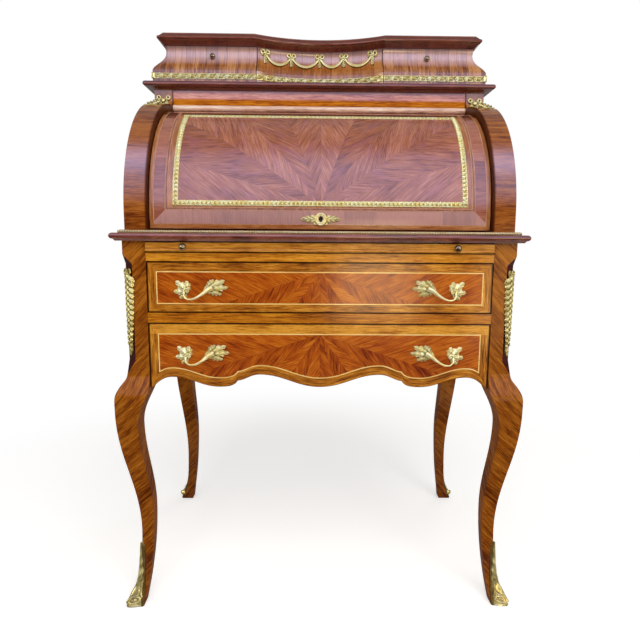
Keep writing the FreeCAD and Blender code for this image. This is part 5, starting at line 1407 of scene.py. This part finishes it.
for drawer, height in PULL_HEIGHTS.items():
    pulls = Casting()
    for side in (-1, 1):
        cast_pull(pulls, side, height)
    set_piece(drawer + "_pulls_chased", pulls, gilt_bronze, drawer, [drawer + "_pulls"])

# %% [markdown]
# ## The frame on the cylinder
# The bronze frame is a thin strip covered with small leaves: one row points inwards, a smaller row lies
# between them and points outwards, and dark gaps part them. The pair is repeated at an even pitch,
# first along the foot and head, then up the two sides, on the round of the fall.

# %% Cast the cylinder's frame
FRAME_WIDTH = 11.0
LEAF_PITCH = 8.0
PLATE_STEP = 5.0
PLATE_SUNK = 0.3
PLATE_PROUD = 1.0
RIM_RADIUS = 0.8


def frame_strip(casting, place, length):
    steps = max(2, round(length / PLATE_STEP))
    runs = [length * i / steps for i in range(steps + 1)]
    casting.rows([[place(u, 0, -PLATE_SUNK), place(u, 0, PLATE_PROUD),
                   place(u, FRAME_WIDTH * 0.84, PLATE_PROUD),
                   place(u, FRAME_WIDTH * 0.9, -PLATE_SUNK)] for u in runs])
    stem(casting, place, [(u, 0.8, 0.7) for u in runs], even(RIM_RADIUS))
    count = round((length - LEAF_PITCH * 0.4) / LEAF_PITCH)
    for i in range(count):
        u = length * (i + 0.5) / count
        leaf(casting, place, (u - 1.6, 1.6), angle=58, length=FRAME_WIDTH - 0.6, width=6.6, rise=2.6,
             lobes=1, cut=0.2, rows=8, half_columns=3)
        leaf(casting, place, (u + 0.6, 7.4), angle=-54, length=7.6, width=5.0, rise=2.4, lobes=1,
             cut=0.2, rows=6, half_columns=3)


frame_mount = Casting()
frame_wide = 2 * FRAME_HALF
frame_tall = HEAD_ARC - FOOT_ARC
frame_strip(frame_mount, lambda u, v, h: on_fall(u - FRAME_HALF, FOOT_ARC + v, h), frame_wide)
frame_strip(frame_mount, lambda u, v, h: on_fall(FRAME_HALF - u, HEAD_ARC - v, h), frame_wide)
frame_strip(frame_mount, lambda u, v, h: on_fall(FRAME_HALF - v, FOOT_ARC + u, h), frame_tall)
frame_strip(frame_mount, lambda u, v, h: on_fall(v - FRAME_HALF, HEAD_ARC - u, h), frame_tall)
set_piece("cylinder_frame_chased", frame_mount, gilt_bronze, "cylinder", ["cylinder_frame"])

# %% [markdown]
# ## The escutcheon
# Round the keyhole sits a small cartouche: a rounded shield with scrolled edges, and a spray of leaves
# to either side. The keyhole itself is a disc and slot of black iron sunk in the shield, a painted shade
# that stands for the dark of the hole.

# %% Cast the escutcheon
KEYHOLE_Z = 762.0
KEY_ARC = math.asin((KEYHOLE_Z - ROLL_Z) / FALL_RADIUS) * FALL_RADIUS
SHIELD_HALF = (9.2, 10.2)
KEY_LEAVES = [(30, 13, 9, 8), (-30, 13, 9, 8), (26, 12, 8, 17), (-26, 12, 8, 17), (20, 9, 6, 26),
              (-20, 9, 6, 26), (0, 31, 8, 8)]


def by_keyhole(u, v, h):
    return on_fall(u, KEY_ARC + v, h)


turns = [math.radians(angle) for angle in range(0, 361, 15)]
shield = [(math.cos(turn) * SHIELD_HALF[0], math.sin(turn) * SHIELD_HALF[1]) for turn in turns]
escutcheon = Casting()
stem(escutcheon, by_keyhole, [(u, v, 1.2) for u, v in shield], even(2.3))
stem(escutcheon, by_keyhole, [(u * 0.66, v * 0.72, 1.5) for u, v in shield], even(1.9))
for way in (-1, 1):
    def to_side(u, v, h, way=way):
        return by_keyhole(way * u, v, h)

    for angle, length, width, start in KEY_LEAVES:
        leaf(escutcheon, to_side, (start, 0), angle, length, width, rise=2.6, cut=0.3)
    curl = scroll(way * 10, -7.5, wide=3.4, narrow=0.8, start=90, turn=way * 400, height=1.5)
    stem(escutcheon, by_keyhole, curl, taper(1.4, 0.9))
set_piece("escutcheon_chased", escutcheon, gilt_bronze, "cylinder", ["cylinder_escutcheon"])

# %% Sink the keyhole
KEYHOLE_SLOT = [(0, 1.5, -0.9), (0, -2, -0.9), (0, -5.5, -0.9)]
# A black iron disc and slot stand for the dark of the hole: painted shade
keyhole_shade = Casting()
pearl(keyhole_shade, by_keyhole, 0, 2.2, h=-1.6, radius=2.9, sides=14, levels=6)
stem(keyhole_shade, by_keyhole, KEYHOLE_SLOT, taper(1.4, 1.9), flat=0.9)
set_piece("keyhole_shade", keyhole_shade, black_iron, "cylinder")

# %% [markdown]
# ## The festoon
# Across the hollow of the gallery hang four swags from five ribbon bows, each with a twisted tail. The
# hollow curves both ways, so each point of a bow or swag is thrown straight back at the frame until it
# meets the veneer.

# %% Tie a bow and a swag
TAIL_STEPS = 24
TAIL_TURN = 5 * math.pi
TAIL_HALF = 1.9
TAIL_PROUD = 2.4
TAIL_DEPTH = 1.3
SWAG_STEPS = 28
SWAG_PROUD = 2.0


def twisted_tail(casting, place, u, v, length):
    for start in (0, math.pi):
        path = []
        for i in range(TAIL_STEPS + 1):
            t = i / TAIL_STEPS
            turn = start + TAIL_TURN * t
            height = TAIL_PROUD + TAIL_DEPTH * math.sin(turn)
            path.append((u + TAIL_HALF * math.cos(turn), v - length * t, height))
        stem(casting, place, path, taper(1.8, 1.4), sides=6)


def ribbon_bow(casting, place, u, v, size, tail):
    loop_reach = size * 0.42
    for way in (-1, 1):
        loop = scroll(u + way * size * 0.6, v + size * 0.3, wide=loop_reach, narrow=loop_reach,
                      start=90 + way * 110, turn=-way * 380, height=2.4, steps=16)
        stem(casting, place, loop, even(size * 0.2), sides=6)
        leaf(casting, place, (u, v), angle=-90 + way * 66, length=size * 1.2, width=size * 0.6, rise=2.6,
             lobes=1, cut=0.1, lift=0.8, rows=7, half_columns=3)
    pearl(casting, place, u, v, h=3.0, radius=size * 0.34)
    twisted_tail(casting, place, u, v - 2, tail)


def swag_radius(t):
    return 2.2 + 2.0 * math.sin(math.pi * t) * (1 + 0.12 * math.sin(t * 60))


def swag(casting, place, start, end, drop):
    path = []
    for i in range(SWAG_STEPS + 1):
        t = i / SWAG_STEPS
        u = start[0] + (end[0] - start[0]) * t
        v = start[1] + (end[1] - start[1]) * t - drop * 4 * t * (1 - t)
        path.append((u, v, SWAG_PROUD))
    stem(casting, place, path, swag_radius)


print("a swag is", round(2 * swag_radius(0.5), 1), "mm thick in the middle")

# %% Hang the festoon
BOW_PLACES = [(-121, 1132.5), (-64, 1130), (0, 1130.5), (54, 1131.5), (117, 1133)]
BOW_SIZE = 8.8
TAIL_LENGTH = 21
SWAG_DROP = 16.0
festoon = Casting()
in_hollow = on_skin(skin("gallery_centre"), (0, 0, 0), RIGHT, UP, BACK)
for u, v in BOW_PLACES:
    ribbon_bow(festoon, in_hollow, u, v, BOW_SIZE, TAIL_LENGTH)
for (u0, v0), (u1, v1) in zip(BOW_PLACES, BOW_PLACES[1:]):
    swag(festoon, in_hollow, (u0 + 2, v0 - 3), (u1 - 2, v1 - 3), SWAG_DROP + (u1 - u0) * 0.05)
set_piece("festoon_chased", festoon, strip_gilt, "case", ["festoon"])

# %% [markdown]
# ## The running strip under the gallery
# A strip of running scrolls goes round the foot of the gallery, cut where the two drawers part from it.
# One wave is a leaf that rises and rolls over into a curl; the wave is repeated at its own pitch along
# each run.

# %% Draw a running scroll
STRIP_HEIGHT = 12.0
STRIP_MARGIN = 0.6
STRIP_PROUD = 0.5
STRIP_STEP = 6.0
WAVE = 20.5


def running_scroll(casting, place, length):
    count = max(1, round(length / WAVE))
    pitch = length / count
    steps = max(2, round(length / STRIP_STEP))
    runs = [length * i / steps for i in range(steps + 1)]
    for v in (1.0, STRIP_HEIGHT - 1.0):
        stem(casting, place, [(u, v, 0.7) for u in runs], even(0.9), sides=6)
    head = STRIP_HEIGHT - STRIP_MARGIN
    casting.rows([[place(u, STRIP_MARGIN, -PLATE_SUNK), place(u, STRIP_MARGIN, STRIP_PROUD),
                   place(u, head, STRIP_PROUD), place(u, head, -PLATE_SUNK)] for u in runs])
    for i in range(count):
        u = pitch * i
        leaf(casting, place, (u + pitch * 0.02, 2.2), angle=24, length=pitch * 0.95, width=7.6, rise=3.2,
             lobes=2, cut=0.25, bend=26, rows=9, half_columns=3)
        leaf(casting, place, (u + pitch * 0.42, 10.0), angle=200, length=pitch * 0.46, width=5.6, rise=3.0,
             lobes=1, cut=0.2, bend=60, rows=7, half_columns=3)
        curl_place = (u + pitch * 0.76, 5.4)
        curl = scroll(*curl_place, wide=3.4, narrow=0.8, start=250, turn=420, height=2.2, steps=14)
        stem(casting, place, curl, taper(1.3, 0.8), sides=6)
        pearl(casting, place, *curl_place, h=2.0, radius=1.5, sides=6, levels=4)


print("one wave is about", WAVE, "mm long")

# %% Run the strip round the gallery
STRIP_FOOT = 1067.5
GALLERY_HALF = 363.0
SEAM_GAP = 0.5
FIXED_HALF = 137.8
SIDE_START = HALF_DEPTH - 0.5
SIDE_RUN = 193.0
front_skin = skin("gallery_centre", "gallery_drawer_left", "gallery_drawer_right")
fixed_strip = Casting()
fixed_face = on_skin(front_skin, (-FIXED_HALF, 0, STRIP_FOOT), RIGHT, UP, BACK)
running_scroll(fixed_strip, fixed_face, 2 * FIXED_HALF)
for side, name in ((-1, "left"), (1, "right")):
    drawer = "gallery_drawer_" + name
    outside = side * GALLERY_HALF
    inward = (-side, 0, 0)
    strip_start = -GALLERY_HALF if side < 0 else SEAM + SEAM_GAP
    drawer_face = on_skin(front_skin, (strip_start, 0, STRIP_FOOT), RIGHT, UP, BACK)
    end_start = (outside, DRAWER_BACK_LINE - SEAM_GAP, STRIP_FOOT)
    drawer_end = on_skin(skin(drawer), end_start, FORWARD, UP, inward)
    drawer_strip = Casting()
    running_scroll(drawer_strip, drawer_face, GALLERY_HALF - SEAM - SEAM_GAP)
    running_scroll(drawer_strip, drawer_end, DRAWER_BACK_LINE - 8.5)
    set_piece(drawer + "_strip_chased", drawer_strip, strip_gilt, drawer, [drawer + "_strip"])
    side_skin = skin("gallery_side_" + name, "gallery_back")
    side_face = on_skin(side_skin, (outside, SIDE_START, STRIP_FOOT), FORWARD, UP, inward)
    running_scroll(fixed_strip, side_face, SIDE_RUN)
set_piece("gallery_strip_chased", fixed_strip, strip_gilt, "case", ["gallery_strip"])

# %% [markdown]
# ## The beaded edge of the desk top
# A string of brass pearls on a flat fillet runs along the step of the desk top, on the front and both
# sides.

# %% String the pearls
PEARL_PITCH = 4.6
PEARL_RADIUS = 1.9
BEAD_SINK = 1.4
FILLET_HALF = 2.2
FILLET_SUNK = 0.6
FILLET_PROUD = 0.3
RIM_LEVELS = (-2.1, 2.1)
bright_brass = metal("bright_brass", paint(250, 236, 190), paint(236, 216, 160), paint(120, 88, 44),
                     roughness=0.5, mottling=0.2)
beading = Casting()
low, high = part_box("desk_top_beading")
low, high = low / MM, high / MM
middle_z = (low.z + high.z) / 2
runs = [((low.x, low.y), (high.x, low.y), (0, -1)), ((low.x, high.y), (low.x, low.y), (-1, 0)),
        ((high.x, low.y), (high.x, high.y), (1, 0))]
for (x0, y0), (x1, y1), (out_x, out_y) in runs:
    length = math.hypot(x1 - x0, y1 - y0)
    way = Vector((x1 - x0, y1 - y0)) / length

    def by_edge(u, v, h, x0=x0, y0=y0, way=way, out_x=out_x, out_y=out_y):
        reach = h - BEAD_SINK
        return (x0 + way.x * u + out_x * reach, y0 + way.y * u + out_y * reach, middle_z + v)

    for v in RIM_LEVELS:
        rim = [(u, v, FILLET_PROUD) for u in (0, length / 2, length)]
        stem(beading, by_edge, rim, even(0.4), sides=6)
    fillet = ((-FILLET_HALF, -FILLET_SUNK), (-FILLET_HALF, FILLET_PROUD),
              (FILLET_HALF, FILLET_PROUD), (FILLET_HALF, -FILLET_SUNK))
    beading.rows([[by_edge(u, v, h) for v, h in fillet] for u in (0, length)])
    count = round(length / PEARL_PITCH)
    for i in range(count):
        u = length * (i + 0.5) / count
        pearl(beading, by_edge, u, 0, h=0.4, radius=PEARL_RADIUS, sides=6, levels=4)
set_piece("desk_top_pearls", beading, bright_brass, "case", ["desk_top_beading"])

# %% [markdown]
# ## Beads on the mouldings
# The cornice and the top of the gallery carry fine beads, worked with a scratch stock: a steel blade
# filed to the shape and drawn along the wood. They follow the moulding round the front and both sides.
# Their pale stain is partly rubbed wear and partly a painted highlight: bright lines along the dark wood.

# %% Scratch the beads
# Pale tones for the beads: partly rubbed wear, partly a painted highlight
RUBBED_HIGHLIGHT_TONES = (paint(104, 46, 34), paint(148, 82, 64), paint(182, 118, 96))
BEADS = (("gallery_top", 1166.2, 1.3), ("gallery_top", 1156.5, 1.5), ("cornice", 1053.5, 1.5))
BEAD_DEPTH = 0.3
CORNER_GAP = 3
BACK_GAP = 0.6
OUTSIDE = 900
SIDE_Y = 150
FRONT_STEPS = 90
SIDE_STEPS = 12
rubbed_highlight_mahogany, recipe = new_finish("rubbed_highlight_mahogany")
x, y, z = recipe.place()
colour, streak, pore = veneer(recipe, x + y, z, 170, RUBBED_HIGHLIGHT_TONES, contrast=0.8)
polish(recipe, rubbed_highlight_mahogany, colour, streak, pore, coat=0.8, arris=STRING_ARRIS)


def scratch_bead(casting, name, height, radius):
    moulding = skin(name)
    half = moulding.ray_cast(Vector((OUTSIDE, SIDE_Y, height)), Vector((-1, 0, 0)))[0].x
    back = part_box(name)[1].y / MM
    front = on_skin(moulding, (0, 0, height), RIGHT, UP, BACK, back_off=300)
    inset = half - CORNER_GAP
    path = [(inset * (2 * i / FRONT_STEPS - 1), 0, -BEAD_DEPTH) for i in range(FRONT_STEPS + 1)]
    stem(casting, front, path, even(radius))
    start = front(inset, 0, 0)[1] + CORNER_GAP
    length = back - start - BACK_GAP
    for side in (-1, 1):
        face = on_skin(moulding, (0, 0, height), BACK, UP, (-side, 0, 0), back_off=OUTSIDE)
        run = [(start + length * i / SIDE_STEPS, 0, -BEAD_DEPTH) for i in range(SIDE_STEPS + 1)]
        stem(casting, face, run, even(radius))


mouldings = Casting()
for name, height, radius in BEADS:
    scratch_bead(mouldings, name, height, radius)
set_piece("moulding_beads", mouldings, rubbed_highlight_mahogany, "case")

# %% [markdown]
# ## The corner chutes
# A ribbon bow and a hanging garland of laurel cover each canted front corner. The garland is a rope of
# leaves that all slant the same way, as if it had been twisted, and it thins towards the foot. Rays
# thrown in at 45 degrees find the corner, and a half-round swell is added so that the rope stands out
# from it.

# %% Cast the chutes
CANT = 16.0
CHUTE_HEAD = 668.0
CHUTE_FOOT = 506.0
CHUTE_SHIFT = 4.5
ROPE_HALF = 13.0
ROPE_SWELL = 5.0
ROPE_ROWS = 13
ROPE_LEAVES = ((-11.5, 7, -54, 15), (-4, 12, -56, 16), (4, 5, -60, 14))
SPINE_STEPS = 40
SPINE_HEAD = CHUTE_HEAD - 14
SPINE_LENGTH = CHUTE_HEAD - 22 - CHUTE_FOOT
ROPE_HEAD = CHUTE_HEAD - 16
ROPE_LENGTH = CHUTE_HEAD - 36 - CHUTE_FOOT
BOW_LOOP = [(0, -19, 3.4), (10, -8, 3.6), (9, -0.5, 3.2), (4, -1.5, 3.0), (2.6, -9, 3.2), (0, -19, 3.4)]
chutes = Casting()
for side, name in ((-1, "front_left_leg"), (1, "front_right_leg")):
    inward = Vector((-side, 1, 0)).normalized()
    across = Vector((-side, -1, 0)).normalized()
    middle = (side * (HALF_WIDTH - CANT / 2), CANT / 2 - HALF_DEPTH, 0)
    over_corner = on_skin(skin(name), middle, across, UP, inward, back_off=40)

    def over_rope(u, v, h, over_corner=over_corner):
        drop = max(0.0, (CHUTE_HEAD - v) / (CHUTE_HEAD - CHUTE_FOOT))
        half = ROPE_HALF * (1.08 - 0.4 * drop * drop)
        swell = ROPE_SWELL * math.sqrt(max(0.0, 1 - (u / half) ** 2))
        return over_corner(u + CHUTE_SHIFT, v, h + swell)

    spine = [(0, SPINE_HEAD - SPINE_LENGTH * i / SPINE_STEPS, -1.0) for i in range(SPINE_STEPS + 1)]
    stem(chutes, over_rope, spine, taper(10.0, 5.0, power=2.0), flat=0.12, sides=12)
    for i in range(ROPE_ROWS):
        t = i / (ROPE_ROWS - 1)
        height = ROPE_HEAD - ROPE_LENGTH * t
        size = 1.0 - 0.42 * t * t
        for u, rise, angle, length in ROPE_LEAVES:
            leaf(chutes, over_rope, (u * size, height + rise), angle, length * size,
                 width=6.8 * size, rise=3.0, lobes=1, cut=0.12, lift=2.2, rows=8, half_columns=3)
    leaf(chutes, over_rope, (0, CHUTE_FOOT + 18), angle=-90, length=18, width=8, rise=2.6, lobes=2, cut=0.25)
    for way in (-1, 1):
        loop = smooth_path([(way * u, CHUTE_HEAD + v, h) for u, v, h in BOW_LOOP], 5)
        stem(chutes, over_corner, loop, even(1.8), flat=0.9, sides=6)
        leaf(chutes, over_rope, (way * 2, CHUTE_HEAD - 15), angle=-90 + way * 50, length=15, width=7.5,
             rise=2.6, lobes=1, cut=0.1, bend=-way * 30)
    pearl(chutes, over_corner, 0, CHUTE_HEAD - 17, h=5.0, radius=3.8)
set_piece("corner_chutes_chased", chutes, old_gilt, "case", ["corner_chutes"])

# %% [markdown]
# ## The bows above the cylinder
# At each end of the frieze a ribbon bow sits on the flat of the quadrant, and a spray of leaves trails
# forward from it over the round of the rim. Near the top of the round the surface runs away from the
# eye, so above the rim line the spray stands straight up and no longer follows it.

# %% Lay a mount over the rim
RIM_LINE = 999.0
RIM_REACH = 360.0
quadrant_skin = skin("quadrant_left", "quadrant_right")
bow_face = on_skin(quadrant_skin, (0, 0, 0), RIGHT, UP, BACK, back_off=300)


def over_rim(u, v, h):
    held = max(-RIM_REACH, min(RIM_REACH, u))
    x, y, z = bow_face(held, min(v, RIM_LINE), h)
    return (u, y, z + max(v - RIM_LINE, 0))


print("the rim turns over at", RIM_LINE, "mm")

# %% Cast the bow mounts
BOW_X = 341.0
BOW_Z = 1022.0
SPRAY = [(330, 1004), (337, 1001.5), (344, 999.5), (351, 998)]
SPRAY_LEAF = {"rise": 3.4, "lobes": 2, "cut": 0.28, "lift": 2.0, "rows": 9, "half_columns": 3}
bows = Casting()
for side in (-1, 1):
    bow_x = side * BOW_X
    for way in (-1, 1):
        curl = scroll(bow_x + way * 10, BOW_Z + 6.5, wide=3.6, narrow=3.6, start=0, turn=372, height=2.6,
                      steps=16)
        stem(bows, bow_face, curl, even(1.7))
        for angle, length, width in ((54, 12, 8), (84, 9, 6)):
            leaf(bows, bow_face, (bow_x, BOW_Z), 90 - way * angle, length, width, rise=3.4, lobes=1, cut=0.1,
                 lift=1.0)
        leaf(bows, bow_face, (bow_x, BOW_Z - 1), angle=-90 + way * 54, length=15, width=9, rise=3.8, lobes=2,
             cut=0.25, lift=2.0)
    leaf(bows, bow_face, (bow_x, BOW_Z - 1), angle=-90, length=10, width=7, rise=3.2, lobes=1, cut=0.1,
         lift=2.0)
    pearl(bows, bow_face, bow_x, BOW_Z + 0.5, h=3.6, radius=4.6, sides=10, levels=6)

    def outward(u, v, h, side=side):
        return over_rim(side * u, v, h)

    stem(bows, outward, smooth_path([(u, v, 2.0) for u, v in SPRAY]), taper(2.4, 1.4))
    for i, (u, v) in enumerate(SPRAY):
        leaf(bows, outward, (u, v), angle=40, length=10.5 - i, width=6.5, bend=-18, **SPRAY_LEAF)
        leaf(bows, outward, (u, v), angle=-42, length=10.5 - i, width=6.5, bend=18, **SPRAY_LEAF)
    leaf(bows, outward, SPRAY[-1], angle=-6, length=10, width=6, **SPRAY_LEAF)
set_piece("bow_mounts_chased", bows, strip_gilt, "case", ["bow_mounts"])

# %% [markdown]
# ## The sabots
# The shoes keep the frame's cast shell, and the chasing goes on top of it: a cap that swells over the
# toe, a long leaf with a lobed edge up the arris, ribs that fan out to the toe, a scroll on either side
# of it and a rounded rim where the shoe meets the floor.

# %% Shape a toe
TOE_SWELL = 9.0
TOE_TOP = 46
TOE_HALF = 18.5
TOE_ROWS = 24
TOE_COLUMNS = 18
SOLE_LIFT = 0.3


def tongue_half(t):
    return (8.5 * (1 - t) ** 1.3 + 1.5) * (1 + 0.16 * math.sin(2 * math.pi * 5 * t))


def toe_height(u, v):
    across_toe = math.exp(-(u / 10.5) ** 2)
    fall_off = math.cos(math.pi / 2 * min(v / TOE_TOP, 1.0)) ** 1.5
    up_toe = fall_off * (0.86 + 0.14 * math.sin(math.pi * min(v / 16, 1.0)))
    return TOE_SWELL * across_toe * up_toe


def toe_cap(casting, place):
    rows = []
    for i in range(TOE_ROWS + 1):
        v = SOLE_LIFT + (TOE_TOP - SOLE_LIFT) * i / TOE_ROWS
        reach = TOE_HALF * (1 - 0.62 * (v / TOE_TOP) ** 0.8)
        line = [(-reach + 2 * reach * j / TOE_COLUMNS, v) for j in range(TOE_COLUMNS + 1)]
        over = [place(u, v, 0.3 + toe_height(u, v)) for u, v in line]
        under = [place(u, v, -0.4) for u, v in reversed(line)]
        rows.append(over + under)
    casting.rows(rows, closed=True)


print("a toe stands out", round(toe_height(0, 8), 1), "mm")

# %% Chase the sabots
SABOT_HEAD = 124.0
TONGUE_FOOT = 22.0
TONGUE_STEPS = 60
SOLE_HALF = 18
SOLE_STEPS = 24
RIB = [(14, 16, 0.4), (10, 28, 0.9), (6, 46, 1.3), (3, 72, 1.0)]
LEGS = {"front_left": (-1, -1), "front_right": (1, -1), "rear_left": (-1, 1), "rear_right": (1, 1)}
tongue_rise = SABOT_HEAD - TONGUE_FOOT
climb = [(0, TONGUE_FOOT + tongue_rise * i / TONGUE_STEPS, 0.0) for i in range(TONGUE_STEPS + 1)]
sole = [(-SOLE_HALF + 2 * SOLE_HALF * i / SOLE_STEPS, 1.6, 0.3) for i in range(SOLE_STEPS + 1)]
for row in ("front", "rear"):
    chasing = Casting()
    for hand in ("left", "right"):
        side, depth = LEGS[row + "_" + hand]
        inward = Vector((-side, -depth, 0)).normalized()
        across = Vector((-side, depth, 0)).normalized()
        shoe_skin = skin(row + "_" + hand + "_leg", row + "_sabots")
        corner = (side * HALF_WIDTH, depth * HALF_DEPTH, 0)
        shoe = on_skin(shoe_skin, corner, across, UP, inward, back_off=40)

        def on_toe(u, v, h, shoe=shoe):
            return shoe(u, v, h + toe_height(u, v))

        stem(chasing, on_toe, climb, tongue_half, flat=0.32, sides=14)
        toe_cap(chasing, shoe)
        stem(chasing, on_toe, sole, even(1.6), sides=6)
        for way in (-1, 1):
            rib = smooth_path([(way * u, v, h) for u, v, h in RIB])
            stem(chasing, on_toe, rib, taper(1.5, 0.8), sides=6)
            curl_place = (way * 8.0, 13)
            curl = scroll(*curl_place, wide=7.4, narrow=4.2, start=80, turn=way * 400, height=1.0,
                          steps=24)
            stem(chasing, on_toe, curl, taper(1.9, 1.5))
            pearl(chasing, on_toe, *curl_place, h=1.2, radius=3.0, sides=10, levels=6)
        if row == "rear":
            pearl(chasing, shoe, -15, 15, h=2.0, radius=7.0, sides=12, levels=8)
    set_piece(row + "_sabots_chased", chasing, shoe_gilt, "case")
